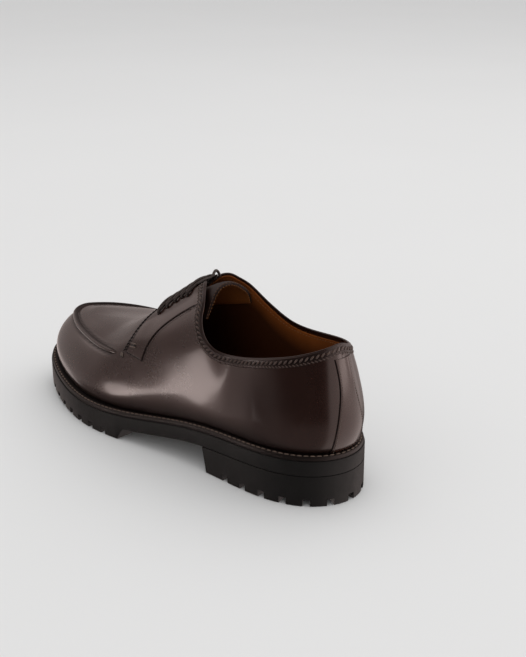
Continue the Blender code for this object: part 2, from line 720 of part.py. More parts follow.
def make_lace_bar(name, angle, outer_lift, inner_lift, parts, look):
    clear = OVERLAY_GAP + FACING_THICK + GAP + LACE_RADIUS
    rise = np.linspace(outer_lift, math.pi / 2, 5)
    fall = np.linspace(math.pi / 2, inner_lift, 5)[1:]
    along = float(last_point(-angle, outer_lift)[1])
    left = last_offset(angle_across(along, rise, -1), rise, clear)
    right = last_offset(angle_across(along, fall, 1), fall, clear)
    path = (np.concatenate([left, right]) - MIDDLE) * MM
    curve = bpy.data.curves.new(name, "CURVE")
    curve.dimensions = "3D"
    curve.bevel_depth = LACE_RADIUS * MM
    curve.bevel_resolution = 2
    curve.use_fill_caps = True
    line = curve.splines.new("POLY")
    line.points.add(len(path) - 1)
    for point, place in zip(line.points, path):
        point.co = (*place, 1.0)
    curve.materials.append(look)
    thing = bpy.data.objects.new(name, curve)
    parts.objects.link(thing)
    return thing


def build():
    clear_scene()
    parts = collection("dress_shoe")
    cutters = collection("cutters")
    make_outsole(parts, cutters, material("outsole_rubber", (0.012, 0.012, 0.011), 0.55))
    make_heel(parts, cutters, material("heel_rubber", (0.011, 0.011, 0.010), 0.55))
    make_welt(parts, material("welt_leather", (0.020, 0.010, 0.008), 0.45))
    make_insole(parts, material("insole_leather", (0.30, 0.13, 0.045), 0.60))
    upper = make_upper(parts, material("upper_leather", (0.055, 0.022, 0.018), 0.30))
    make_tongue(parts, material("tongue_leather", (0.050, 0.020, 0.017), 0.35))
    for name, side in (("lateral", -1), ("medial", 1)):
        holes = make_eyelet_cutter("eyelets_" + name, side, cutters)
        facing = make_facing("facing_" + name, side, parts,
                             material("facing_" + name + "_leather", (0.050, 0.020, 0.017), 0.32))
        cut(facing, holes)
        cut(upper, holes)
    make_trim(parts, material("trim_leather", (0.040, 0.016, 0.013), 0.40))
    make_backstay(parts, material("backstay_leather", (0.055, 0.022, 0.018), 0.30))
    make_piping(parts, material("ridge_leather", (0.045, 0.018, 0.015), 0.30))
    lace = material("lace_cotton", (0.015, 0.008, 0.006), 0.60)
    for number, (angle, outer_lift, inner_lift) in enumerate(np.radians(EYELET_ROWS), 1):
        make_lace_bar("lace_bar_%d" % number, angle, outer_lift, inner_lift, parts, lace)


build()
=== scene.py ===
"""Left derby shoe with an apron toe and a lugged rubber sole, dressed piece by piece over its solids."""
import math

import bpy
import numpy as np
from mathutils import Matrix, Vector


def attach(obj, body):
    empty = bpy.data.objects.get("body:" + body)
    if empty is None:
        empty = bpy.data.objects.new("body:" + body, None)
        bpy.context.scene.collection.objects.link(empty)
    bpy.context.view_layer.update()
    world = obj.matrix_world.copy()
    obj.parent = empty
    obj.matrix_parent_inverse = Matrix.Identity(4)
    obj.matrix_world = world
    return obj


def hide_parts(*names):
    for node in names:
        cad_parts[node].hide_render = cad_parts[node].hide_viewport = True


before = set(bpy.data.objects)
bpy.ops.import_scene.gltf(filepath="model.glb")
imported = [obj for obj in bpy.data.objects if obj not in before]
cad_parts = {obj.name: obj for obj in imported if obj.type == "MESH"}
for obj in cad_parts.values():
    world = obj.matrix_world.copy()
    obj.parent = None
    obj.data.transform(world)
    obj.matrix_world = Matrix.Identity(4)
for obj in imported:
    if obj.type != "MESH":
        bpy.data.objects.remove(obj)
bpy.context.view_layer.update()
bpy.ops.object.select_all(action="DESELECT")

# Outsole: one full-length layer of moulded black rubber with a rounded top lip.
# Its forefoot is cut into edge lugs, a channel inside them, cross grooves and a spine; the waist is plain.
# It is glued and stitched to the welt above it.
MM = 0.001
WELD = 2e-7
SOLE_LENGTH = 308.0
TOE_TIP_X = 4.0
OUTSOLE_THICK = 10.5
TREAD_START = 172.0
TREAD_STEP = 5.0
SPRING_START = 212.0
SPRING_LIFT = 9.2
SPRING_POWER = 1.8
SOLE_COLUMNS = 230

# Sole edge: station from the heel, half width to the outer side, half width to the inner side
EDGE_ROWS = np.array([
    (4, 15.5, 15.5), (18, 30.5, 30.5), (40, 39.0, 38.5), (70, 41.5, 38.5), (100, 42.0, 34.5),
    (130, 44.5, 32.5), (160, 49.5, 36.0), (190, 54.0, 44.5), (215, 53.8, 51.5), (240, 49.0, 54.5),
    (265, 40.5, 51.5), (288, 28.5, 39.0), (302, 15.0, 22.0)])
# Sole top edge: station, height over the floor
RIM_ROWS = np.array([
    (0, 32.0), (60, 31.0), (110, 27.5), (160, 20.5), (205, 17.3), (240, 18.0), (275, 21.5), (308, 26.5)])
# Rounded lip and foot of a rubber edge: inset, height from the top or from the bottom
LIP_STEPS = ((1.5, 0.0), (0.7, 0.0), (0.28, -0.12), (0.06, -0.42), (0.0, -0.95))
FOOT_STEPS = ((0.0, 1.0), (0.1, 0.42), (0.45, 0.08), (1.1, 0.0))


def spline(stations, values):
    """Natural cubic through the rows, carried on straight past both ends."""
    stations = np.asarray(stations, float)
    values = np.asarray(values, float)
    count = len(stations)
    step = np.diff(stations)
    slope = np.diff(values) / step
    matrix = np.eye(count)
    right = np.zeros(count)
    for i in range(1, count - 1):
        matrix[i, i - 1:i + 2] = step[i - 1], 2 * (step[i - 1] + step[i]), step[i]
        right[i] = 6 * (slope[i] - slope[i - 1])
    curve = np.linalg.solve(matrix, right)
    first = slope[0] - step[0] * curve[1] / 6
    last = slope[-1] + step[-1] * curve[-2] / 6

    def value(at):
        at = np.asarray(at, float)
        inside = np.clip(at, stations[0], stations[-1])
        k = np.clip(np.searchsorted(stations, inside, side="right") - 1, 0, count - 2)
        a = inside - stations[k]
        rise = slope[k] - step[k] * (2 * curve[k] + curve[k + 1]) / 6
        bend = (curve[k + 1] - curve[k]) / (6 * step[k])
        height = values[k] + a * rise + a * a * curve[k] / 2 + a ** 3 * bend
        return height + np.minimum(at - stations[0], 0) * first + np.maximum(at - stations[-1], 0) * last

    return value


def sole_edge():
    """Sideways place of the sole edge by angle round the shoe: 0 at the heel, a half turn at the toe."""
    angle = np.arccos(1 - 2 * EDGE_ROWS[:, 0] / SOLE_LENGTH)
    angles = np.concatenate([-angle[::-1], [0.0], angle, [math.pi]])
    sides = np.concatenate([-EDGE_ROWS[::-1, 1], [0.0], EDGE_ROWS[:, 2], [TOE_TIP_X]])
    turn = 2 * math.pi
    return spline(np.concatenate([angles - turn, angles, angles + turn]), np.tile(sides, 3))


edge_x = sole_edge()
rim_height = spline(RIM_ROWS[:, 0], RIM_ROWS[:, 1])
full_turn = np.linspace(-math.pi, math.pi, 2001)
MIDDLE = np.array([(edge_x(full_turn).min() + edge_x(full_turn).max()) / 2, SOLE_LENGTH / 2, 0.0])


def station(angle):
    return SOLE_LENGTH * (1 - np.cos(angle)) / 2


def angle_at(along):
    return np.arccos(1 - 2 * np.asarray(along, float) / SOLE_LENGTH)


def outline(angle, inset):
    """Plan point of the sole edge at an angle, moved in by the inset."""
    nudge = 1e-4
    tx = (edge_x(angle + nudge) - edge_x(angle - nudge)) / (2 * nudge)
    ty = SOLE_LENGTH * np.sin(angle) / 2
    size = np.hypot(tx, ty) + 1e-12
    return edge_x(angle) - inset * ty / size, station(angle) + inset * tx / size


def tread_height(along):
    share = np.clip((along - SPRING_START) / (SOLE_LENGTH - SPRING_START), 0, 1)
    return SPRING_LIFT * share ** SPRING_POWER


def outsole_bottom(along):
    share = np.clip((along - TREAD_START) / TREAD_STEP, 0, 1)
    return (rim_height(along) - OUTSOLE_THICK) * (1 - share) + tread_height(along) * share


def edge_rows(turn, steps):
    """Rows of a moulded edge round the shoe, one for each step of inset and height."""
    rows = []
    for inset, height in steps:
        x, y = outline(turn, inset)
        rows.append(np.stack([x, y, height(y)], -1))
    return np.stack(rows)


def rubber_steps(top, low):
    steps = []
    for inset, drop in LIP_STEPS:
        steps.append((inset, lambda y, drop=drop: top(y) + drop))
    for inset, rise in FOOT_STEPS:
        steps.append((inset, lambda y, rise=rise: low(y) + rise))
    return steps


def capped(rows):
    """Carry the first and the last row on to the middle line between the shoe's two sides."""
    return np.concatenate([(rows[:1] + rows[:1, ::-1]) / 2, rows, (rows[-1:] + rows[-1:, ::-1]) / 2])


def laid_grid(name, points, marks=None):
    """Grid primitive laid point by point on rows in millimetres, and welded where rows or columns meet."""
    rows, columns = points.shape[:2]
    bpy.ops.object.select_all(action="DESELECT")
    bpy.ops.mesh.primitive_grid_add(x_subdivisions=columns - 1, y_subdivisions=rows - 1, calc_uvs=False)
    made = bpy.context.active_object
    made.name = name
    placed = (points.reshape(-1, 3) - MIDDLE) * MM
    made.data.vertices.foreach_set("co", placed.astype(np.float32).ravel())
    for mark, values in (marks or {}).items():
        layer = made.data.attributes.new(mark, "FLOAT", "POINT")
        layer.data.foreach_set("value", np.asarray(values, np.float32).ravel())
    bpy.ops.object.mode_set(mode="EDIT")
    bpy.ops.mesh.select_all(action="SELECT")
    bpy.ops.mesh.remove_doubles(threshold=WELD)
    bpy.ops.object.mode_set(mode="OBJECT")
    return made


def closed_up(made):
    """Fill the open ends of a mesh and turn its faces outwards."""
    bpy.ops.object.mode_set(mode="EDIT")
    bpy.ops.mesh.select_all(action="SELECT")
    bpy.ops.mesh.fill_holes(sides=0)
    bpy.ops.mesh.normals_make_consistent(inside=False)
    bpy.ops.object.mode_set(mode="OBJECT")
    return made


def smooth(made, sharp):
    """Smooth shading over edges flatter than an angle in degrees."""
    bpy.ops.object.select_all(action="DESELECT")
    made.select_set(True)
    bpy.context.view_layer.objects.active = made
    bpy.ops.object.shade_smooth_by_angle(angle=math.radians(sharp))


def fitted(made, looks, nodes=(), sharp=40.0):
    """Give a piece its materials and shading, set it on the shoe and hide the imported parts it stands for."""
    for look in looks:
        made.data.materials.append(look)
    smooth(made, sharp)
    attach(made, "root")
    if nodes:
        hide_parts(*nodes)
    return made


class Field:
    """A socket of a finish, with operators that add Math nodes."""

    def __init__(self, finish, socket):
        self.finish = finish
        self.socket = socket

    def maths(self, operation, first, second):
        return self.finish.node("ShaderNodeMath", {"operation": operation}, {0: first, 1: second})

    def __add__(self, other):
        return self.maths("ADD", self, other)

    def __mul__(self, other):
        return self.maths("MULTIPLY", self, other)

    def __sub__(self, other):
        return self.maths("SUBTRACT", self, other)

    def __rsub__(self, other):
        return self.maths("SUBTRACT", other, self)

    __radd__ = __add__
    __rmul__ = __mul__


class Finish:
    """A Principled material: constants go straight on its sockets, fields are fed to them."""

    def __init__(self, name, **constants):
        self.material = bpy.data.materials.new(name)
        self.material.use_nodes = True
        self.tree = self.material.node_tree
        self.shader = self.tree.nodes["Principled BSDF"]
        for socket, value in constants.items():
            self.shader.inputs[socket.replace("_", " ").title().replace("Ior", "IOR")].default_value = value

    def node(self, kind, settings=None, sockets=None, output=0):
        made = self.tree.nodes.new(kind)
        for key, value in (settings or {}).items():
            setattr(made, key, value)
        for key, value in (sockets or {}).items():
            self.join(made.inputs[key], value)
        return Field(self, made.outputs[output])

    def join(self, socket, value):
        if isinstance(value, Field):
            self.tree.links.new(value.socket, socket)
        else:
            socket.default_value = value

    def feed(self, socket, value):
        self.join(self.shader.inputs[socket], value)

    def mark(self, name):
        return self.node("ShaderNodeAttribute", {"attribute_name": name}, output="Fac")

    def noise(self, scale, detail=2.0, stretch=(1.0, 1.0, 1.0)):
        """Noise on the piece's own coordinates, in metres; the scale is features in a metre."""
        place = self.node("ShaderNodeTexCoord", output="Object")
        scaled = self.node("ShaderNodeMapping", {}, {"Vector": place, "Scale": stretch})
        sockets = {"Vector": scaled, "Scale": scale, "Detail": detail}
        return self.node("ShaderNodeTexNoise", {}, sockets, "Fac")

    def mix(self, share, first, second):
        """Colour between two, each given as a field or as red, green and blue."""
        first, second = [part if isinstance(part, Field) else (*part, 1.0) for part in (first, second)]
        settings = {"data_type": "RGBA", "clamp_factor": True}
        return self.node("ShaderNodeMix", settings, {0: share, 6: first, 7: second}, 2)

    def bump(self, height, distance, strength=1.0):
        sockets = {"Height": height, "Distance": distance, "Strength": strength}
        self.feed("Normal", self.node("ShaderNodeBump", {}, sockets, "Normal"))


def rubber(name, colour, dusty):
    """Moulded rubber: matte, faintly mottled, with the fine tooth of the mould."""
    finish = Finish(name, specular_ior_level=0.30)
    finish.feed("Base Color", finish.mix(finish.noise(55.0, 3.0) * 1.6 - 0.45, colour, dusty))
    finish.feed("Roughness", finish.noise(380.0, 2.0) * 0.16 + 0.44)
    finish.bump(finish.noise(1500.0, 2.0), 0.00005, 0.5)
    return finish.material


def carve(made, cutter):
    """Cut one mesh out of another with an exact boolean, then drop the cutter."""
    bpy.ops.object.select_all(action="DESELECT")
    bpy.context.view_layer.objects.active = made
    bpy.ops.object.modifier_add(type="BOOLEAN")
    step = made.modifiers[-1]
    step.operation = "DIFFERENCE"
    step.solver = "EXACT"
    step.object = cutter
    bpy.ops.object.modifier_apply(modifier=step.name)
    bpy.data.objects.remove(cutter, do_unlink=True)


NOTCH_WIDTH = 5.0
NOTCH_REACH = 13.0
NOTCH_DEPTH = 5.0
NOTCH_PROUD = 2.0
NOTCH_START = 12.0
LUG_PITCH = 14.0
CUT_HALF = 10.0
CHANNEL_INSET = 15.0
CHANNEL_WIDTH = 4.6
CHANNEL_DEPTH = 4.4
CHANNEL_OVERRUN = 6.0
CROSS_WIDTH = 5.0
CROSS_DEPTH = 4.0
FOREFOOT_CROSSES = (198.0, 216.0, 234.0, 252.0, 270.0)
SPINE_WIDTH = 5.2
SPINE_DEPTH = 3.6
SPINE_PLACE = 2.0
SPINE_END = 278.0


def block(centre, size, turn):
    """One cutter block, added as a cube and turned about the upright."""
    bpy.ops.mesh.primitive_cube_add(
        size=1.0, location=(np.asarray(centre) - MIDDLE) * MM, rotation=(0.0, 0.0, turn),
        scale=np.asarray(size) * MM)
    return bpy.context.active_object


def joined(pieces):
    bpy.ops.object.select_all(action="DESELECT")
    for made in pieces:
        made.select_set(True)
    bpy.context.view_layer.objects.active = pieces[0]
    bpy.ops.object.join()
    bpy.ops.object.transform_apply(location=True, rotation=True, scale=True)
    return pieces[0]


def run_along(points, axis=0):
    """Length along a line of points from its start, or along each line of a grid."""
    steps = np.linalg.norm(np.diff(points, axis=axis), axis=-1)
    return np.concatenate([np.zeros_like(np.take(steps, [0], axis)), np.cumsum(steps, axis)], axis)


def evenly(points, pitch):
    """Lengths along a line at which marks one pitch apart come, and the length at each of its points."""
    run = run_along(points)
    count = max(1, int(round(run[-1] / pitch)))
    return (np.arange(count) + 0.5) * run[-1] / count, run


def notch_blocks(first, last, pitch):
    """Blocks that cut the edge lugs, spaced evenly along the sole edge between two angles."""
    turn = np.linspace(first, last, 600)
    marks, run = evenly(np.stack(outline(turn, 0.0), -1), pitch)
    blocks = []
    for angle in np.interp(marks, run, turn):
        x, y = outline(angle, NOTCH_REACH / 2 - NOTCH_PROUD)
        inner_x, inner_y = outline(angle, NOTCH_REACH)
        top = tread_height(inner_y) + NOTCH_DEPTH
        size = (NOTCH_REACH + 2 * NOTCH_PROUD, NOTCH_WIDTH, 2 * CUT_HALF)
        blocks.append(block((x, y, top - CUT_HALF), size, math.atan2(y - inner_y, x - inner_x)))
    return joined(blocks)


def cross_blocks(stations):
    blocks = []
    for along in stations:
        angle = angle_at(along)
        left = outline(-angle, CHANNEL_INSET)[0]
        right = outline(angle, CHANNEL_INSET)[0]
        centre = ((left + right) / 2, along, tread_height(along) + CROSS_DEPTH - CUT_HALF)
        blocks.append(block(centre, (right - left, CROSS_WIDTH, 2 * CUT_HALF), 0.0))
    return joined(blocks)


def groove_cutter(name, left, right, top):
    """Cutter swept along a groove between two plan lines."""
    low = top - 2 * CUT_HALF
    ring = [(left, top), (right, top), (right, low), (left, low), (left, top)]
    return closed_up(laid_grid(name, np.stack([np.column_stack(corner) for corner in ring], 1)))


def channel_cutter(first, last):
    turn = np.linspace(first, last, 90)
    outer = np.stack(outline(turn, CHANNEL_INSET - CHANNEL_WIDTH / 2), -1)
    inner = np.stack(outline(turn, CHANNEL_INSET + CHANNEL_WIDTH / 2), -1)
    return groove_cutter("channel", outer, inner, tread_height((outer + inner)[:, 1] / 2) + CHANNEL_DEPTH)


sole_turn = np.linspace(-math.pi, math.pi, 2 * SOLE_COLUMNS + 1)
sole_rows = capped(edge_rows(sole_turn, rubber_steps(rim_height, outsole_bottom)))
outsole = closed_up(laid_grid("sole", sole_rows))
lug_start = angle_at(TREAD_START + NOTCH_START)
carve(outsole, notch_blocks(lug_start, 2 * math.pi - lug_start, LUG_PITCH))
channel_start = angle_at(TREAD_START - CHANNEL_OVERRUN)
carve(outsole, channel_cutter(channel_start, 2 * math.pi - channel_start))
carve(outsole, cross_blocks(FOREFOOT_CROSSES))
spine_run = np.linspace(TREAD_START - CHANNEL_OVERRUN, SPINE_END, 24)
spine_sides = [np.column_stack([SPINE_PLACE + half + 0 * spine_run, spine_run])
               for half in (-SPINE_WIDTH / 2, SPINE_WIDTH / 2)]
carve(outsole, groove_cutter("spine", *spine_sides, tread_height(spine_run) + SPINE_DEPTH))
sole_rubber = rubber("sole_rubber", (0.0058, 0.0055, 0.0052), (0.0105, 0.0100, 0.0096))
fitted(outsole, [sole_rubber], ["outsole"], 32.0)

# Heel: a separate block of the same black rubber, glued and nailed under the outsole.
# Its breast leans back towards the floor, and its edge and bottom are cut into lugs like the forefoot's.
HEEL_BREAST = 97.0
BREAST_RAKE = 4.0
HEEL_GAP = 0.06
HEEL_LUG_PITCH = 16.0
HEEL_NOTCH_STOP = 14.0
HEEL_CROSSES = (34.0, 54.0, 74.0)
HEEL_COLUMNS = 110


def heel_top(along):
    return rim_height(along) - OUTSOLE_THICK - HEEL_GAP


def heel_low(along):
    return np.zeros_like(along)


heel_turn = np.linspace(-1, 1, 2 * HEEL_COLUMNS + 1) * angle_at(HEEL_BREAST)
heel_steps = [(0.0, heel_top)] + rubber_steps(heel_top, heel_low)[len(LIP_STEPS):]
heel_rows = edge_rows(heel_turn, heel_steps)
breast = HEEL_BREAST - BREAST_RAKE * (1 - heel_rows[..., 2] / heel_top(HEEL_BREAST))
heel_rows[..., 1] = np.minimum(heel_rows[..., 1], breast)
heel = closed_up(laid_grid("heel_block", capped(heel_rows)))
notch_stop = angle_at(HEEL_BREAST - HEEL_NOTCH_STOP)
carve(heel, notch_blocks(-notch_stop, notch_stop, HEEL_LUG_PITCH))
channel_stop = angle_at(HEEL_BREAST + CHANNEL_OVERRUN)
carve(heel, channel_cutter(-channel_stop, channel_stop))
carve(heel, cross_blocks(HEEL_CROSSES))
heel_rubber = rubber("heel_rubber", (0.0052, 0.0050, 0.0048), (0.0095, 0.0092, 0.0089))
fitted(heel, [heel_rubber], ["heel"], 32.0)

# Welt: a strip of dark brown leather round the whole shoe, sewn to the upper's foot and stitched down
# through the outsole. Its outer edge is rounded and its stitches lie in a shallow groove; shade is painted
# darkest along the upper and in the groove.
WELT_THICK = 3.0
WELT_STEP = 0.8
WELT_INSIDE = 8.0
WELT_COLUMNS = 240
STITCH_GROOVE = 2.5
STITCH_GROOVE_DEPTH = 0.35
WELT_STITCH_PITCH = 4.2
WELT_STITCH = (3.4, 1.2, 1.0)
# Welt section: inset, height over the outsole, share of the painted shade
WELT_SECTION = (
    (WELT_STEP + 0.1, 0.05, 0.2), (WELT_STEP, 0.4, 0.0), (WELT_STEP, 2.2, 0.0), (WELT_STEP + 0.2, 2.75, 0.0),
    (WELT_STEP + 0.6, WELT_THICK, 0.0), (STITCH_GROOVE - 0.6, WELT_THICK, 0.1),
    (STITCH_GROOVE, WELT_THICK - STITCH_GROOVE_DEPTH, 0.7), (STITCH_GROOVE + 0.6, WELT_THICK, 0.2),
    (STITCH_GROOVE + 1.6, WELT_THICK, 0.45), (STITCH_GROOVE + 2.8, WELT_THICK - 0.15, 1.0),
    (WELT_INSIDE, WELT_THICK - 0.2, 1.0), (WELT_INSIDE, 0.05, 1.0), (WELT_STEP + 0.1, 0.05, 0.2))


def unit(vectors):
    return vectors / (np.linalg.norm(vectors, axis=-1, keepdims=True) + 1e-12)


def calf(name, colour, deep, roughness=0.28, coat=0.6, shine=0.12):
    """Polished calf: mottled dye, pores and fine wrinkles. A mark darkens it and takes its coat, for painted shade
    and dark edge dye; the mark dull takes its gloss.
    """
    finish = Finish(name, coat_roughness=shine, coat_ior=1.5, specular_tint=(1.0, 0.86, 0.83, 1.0))
    cloud = finish.noise(34.0, 3.0)
    fleck = finish.noise(420.0, 2.0)
    burnish = finish.mark("burnish")
    dye = finish.mix(cloud * 1.4 + fleck * 0.35 - 0.55, deep, colour)
    finish.feed("Base Color", finish.mix(burnish * 0.92, dye, [0.15 * part for part in deep]))
    dull = finish.mark("dull")
    finish.feed("Roughness", cloud * 0.10 + fleck * 0.06 + burnish * 0.25 + dull * 0.35 + (roughness - 0.08))
    finish.feed("Coat Weight", (1.0 - burnish) * (1.0 - dull) * coat)
    pores = finish.noise(2600.0, 2.0)
    wrinkle = finish.noise(230.0, 3.0)
    finish.bump(pores * 0.25 + wrinkle * 0.75, 0.00004, 0.25)
    return finish.material


def thread(name, colour, sheen=0.45):
    """Waxed thread: dark, a little glossy, with the twist of its strands."""
    finish = Finish(name, roughness=sheen)
    strand = finish.noise(900.0, 1.0, (1.0, 1.0, 0.4))
    finish.feed("Base Color", finish.mix(strand, [0.45 * part for part in colour], colour))
    finish.bump(strand, 0.0001, 0.5)
    return finish.material


def stitch_shape():
    """One stitch, modelled as a rounded bead of unit length, width and height."""
    bpy.ops.object.select_all(action="DESELECT")
    on_its_side = (0.0, math.pi / 2, 0.0)
    bpy.ops.mesh.primitive_uv_sphere_add(segments=8, ring_count=6, radius=0.5, rotation=on_its_side)
    bead = bpy.context.active_object
    bpy.ops.object.transform_apply(rotation=True)
    points = np.array([vertex.co for vertex in bead.data.vertices])
    faces = [tuple(polygon.vertices) for polygon in bead.data.polygons]
    bpy.data.objects.remove(bead, do_unlink=True)
    return points, faces


STITCH_POINTS, STITCH_FACES = stitch_shape()


def stitches(name, centres, along, up, size, look, slant=0.0):
    """Row of stitches copied from the one shape: each lies along its line, slanted about the way up."""
    along = unit(along - up * (along * up).sum(-1, keepdims=True))
    turned = along * math.cos(slant) + np.cross(up, along) * math.sin(slant)
    beside = np.cross(up, turned)
    shape = STITCH_POINTS * size
    points = centres[:, None] + turned[:, None] * shape[:, :1]
    points = points + beside[:, None] * shape[:, 1:2] + up[:, None] * shape[:, 2:]
    faces = []
    for k in range(len(centres)):
        faces += [tuple(k * len(shape) + v for v in face) for face in STITCH_FACES]
    mesh = bpy.data.meshes.new(name)
    mesh.from_pydata(((points.reshape(-1, 3) - MIDDLE) * MM).tolist(), [], faces)
    made = bpy.data.objects.new(name, mesh)
    bpy.context.scene.collection.objects.link(made)
    return fitted(made, [look], sharp=80.0)


def spaced(points, pitch):
    """Places along a line of points, evenly spaced by the pitch, counted in points."""
    return np.interp(*evenly(points, pitch), np.arange(len(points)))


def read_at(values, at):
    index = np.arange(len(values))
    return np.stack([np.interp(at, index, values[:, k]) for k in range(values.shape[1])], -1)


def sewn_row(name, line, up, pitch, size, look, slant=0.0):
    """Stitches one pitch apart along a line, standing the way up that is given at each of its points."""
    at = spaced(line, pitch)
    along = read_at(np.gradient(line, axis=0), at)
    return stitches(name, read_at(line, at), along, unit(read_at(up, at)), size, look, slant)


welt_turn = np.linspace(-math.pi, math.pi, 2 * WELT_COLUMNS + 1)
welt_steps = [(inset, lambda y, rise=rise: rim_height(y) + rise) for inset, rise, _ in WELT_SECTION]
# Painted shade on the welt: darkest under the upper's foot and in the stitch groove.
welt_painted_shade = np.array([share for _, _, share in WELT_SECTION])[:, None] + 0 * welt_turn
welt = closed_up(laid_grid("welt_strip", edge_rows(welt_turn, welt_steps), {"burnish": welt_painted_shade}))
welt_leather = calf("welt_leather", (0.0060, 0.0040, 0.0034), (0.0038, 0.0026, 0.0022), 0.5, 0.05)
fitted(welt, [welt_leather], ["welt"], 60.0)
welt_x, welt_y = outline(np.linspace(-math.pi, math.pi, 1600), STITCH_GROOVE)
welt_line = np.stack([welt_x, welt_y, rim_height(welt_y) + WELT_THICK], -1)
welt_thread = thread("welt_thread", (0.19, 0.130, 0.098), 0.5)
upward = np.tile((0.0, 0.0, 1.0), (len(welt_line), 1))
sewn_row("welt_stitches", welt_line, upward, WELT_STITCH_PITCH, WELT_STITCH, welt_thread)

# Insole: the tan leather footbed that closes the bottom of the upper, let down inside the welt.
# Its top is slightly dished under heel and ball.
GAP = 0.3
UPPER_WALL = 2.0
INSOLE_RISE = 2.4
INSOLE_ROWS = 110
INSOLE_ACROSS = 20
INSOLE_DISH = 1.3
INSOLE_TIP = 0.02
# Last sections: station, inset of the feather line, bulge, profile exponent, height of the bulge
SECTION_ROWS = np.array([
    (0, 4.6, 4.7, 1.64, 23), (40, 5.0, 3.6, 1.90, 22), (85, 5.4, 1.8, 2.10, 20),
    (120, 5.6, 1.4, 2.20, 18), (160, 6.0, 2.4, 2.25, 15), (205, 6.5, 3.4, 2.20, 13),
    (250, 6.6, 3.2, 2.15, 12), (308, 6.4, 3.0, 2.10, 11)])
feather_inset = spline(SECTION_ROWS[:, 0], SECTION_ROWS[:, 1])


def lining_leather(name, colour, deep):
    """Undyed tan lining leather: matte, softly clouded, with a fine nap."""
    finish = Finish(name, specular_ior_level=0.3)
    tan = finish.mix(finish.noise(48.0, 4.0) * 1.5 - 0.25, deep, colour)
    # The mark darkens it as painted shade deeper inside the shoe.
    finish.feed("Base Color", finish.mix(finish.mark("burnish") * 0.95, tan, [0.25 * part for part in deep]))
    finish.feed("Roughness", finish.noise(300.0, 2.0) * 0.2 + 0.5)
    finish.bump(finish.noise(1800.0, 3.0), 0.00012, 0.4)
    return finish.material


def sheet(name, top, bottom, marks=None, inner_look=0):
    """Closed sheet: its outer face laid as a grid, extruded, and the extruded face laid as the inner one."""
    places = np.arange(top.shape[0] * top.shape[1]).reshape(top.shape[:2])
    made = laid_grid(name, top, {"place": places, **(marks or {})})
    bpy.ops.object.mode_set(mode="EDIT")
    bpy.ops.mesh.select_all(action="SELECT")
    bpy.ops.mesh.extrude_region_move()
    bpy.ops.object.mode_set(mode="OBJECT")
    mesh = made.data
    inner = np.empty(len(mesh.vertices), bool)
    mesh.vertices.foreach_get("select", inner)
    place = np.empty(len(inner), np.float32)
    mesh.attributes["place"].data.foreach_get("value", place)
    spots = np.empty(3 * len(inner), np.float32)
    mesh.vertices.foreach_get("co", spots)
    spots = spots.reshape(-1, 3)
    spots[inner] = (bottom.reshape(-1, 3)[place[inner].astype(int)] - MIDDLE) * MM
    mesh.vertices.foreach_set("co", spots.ravel())
    for face in mesh.polygons:
        face.material_index = inner_look if face.select else 0
    mesh.attributes.remove(mesh.attributes["place"])
    return closed_up(made)


insole_angle = np.linspace(INSOLE_TIP, math.pi - INSOLE_TIP, INSOLE_ROWS)
insole_inset = feather_inset(station(insole_angle)) + UPPER_WALL + 2 * GAP
insole_left = np.stack(outline(-insole_angle, insole_inset), -1)
insole_right = np.stack(outline(insole_angle, insole_inset), -1)
across = np.linspace(0, 1, INSOLE_ACROSS)[None, :, None]
insole_plan = insole_left[:, None] * (1 - across) + insole_right[:, None] * across
insole_top = rim_height(insole_plan[..., 1]) + WELT_THICK + INSOLE_RISE
insole_top -= INSOLE_DISH * np.sin(math.pi * across[..., 0]) ** 0.7
insole_low = rim_height(insole_plan[..., 1]) + GAP
insole = sheet("footbed", np.concatenate([insole_plan, insole_top[..., None]], -1),
               np.concatenate([insole_plan, insole_low[..., None]], -1))
footbed_tan = lining_leather("footbed_tan", (0.14, 0.045, 0.009), (0.085, 0.026, 0.005))
fitted(insole, [footbed_tan], ["insole"])

# Upper: polished dark burgundy-brown calf pulled over a last and stitched to the welt along its feather line.
# One wall goes all the way round, closed over the toe and open at the throat and the collar.
# A tan lining, cut a little lower at the collar, is glued inside it.
UPPER_SKIN = 1.3
RIDGE_BACK = 38.0
RIDGE_FRONT = 252.0
UPPER_ROWS = 66
CREST_START = 110
CREST_REACH = 12.0
CREST_SMOOTHING = 60
CLOSED_LIFT = math.radians(89.9)
LINING_ROWS = 40
LINING_DROP = 0.03
LINING_GLUE = 0.05
LINING_SHADE_START = 3.0
LINING_SHADE = 15.0
THROAT_FINENESS = 7
COLLAR_COLUMNS = 110

# Last ridge: station, sideways place, height over the floor
RIDGE_ROWS = np.array([
    (38, 0.0, 148.0), (70, 0.0, 145.0), (95, 0.8, 138.5), (117, 1.8, 129.0), (140, 2.0, 112.5),
    (164, 2.0, 94.2), (190, 2.5, 80.0), (215, 3.0, 73.0), (235, 3.6, 69.2), (252, 4.0, 67.4)])
# Upper, toe to top corner, in degrees: foot; top and lift (outer side); top and lift (inner side); columns
THROAT_ROWS = np.array([
    (180, 180, 90, 180, 90, 7), (150, 150, 90, 150, 90, 6), (124, 124, 90, 124, 90, 6),
    (100, 97, 90, 97, 90, 2), (97.5, 95.6, 79, 95.6, 84, 1), (96, 94, 76.2, 94, 82.6, 2),
    (92, 90.5, 75.6, 90.5, 83, 3), (84.5, 82.4, 76.4, 82.2, 85, 1), (82, 79.7, 76, 79.9, 85, 0)])
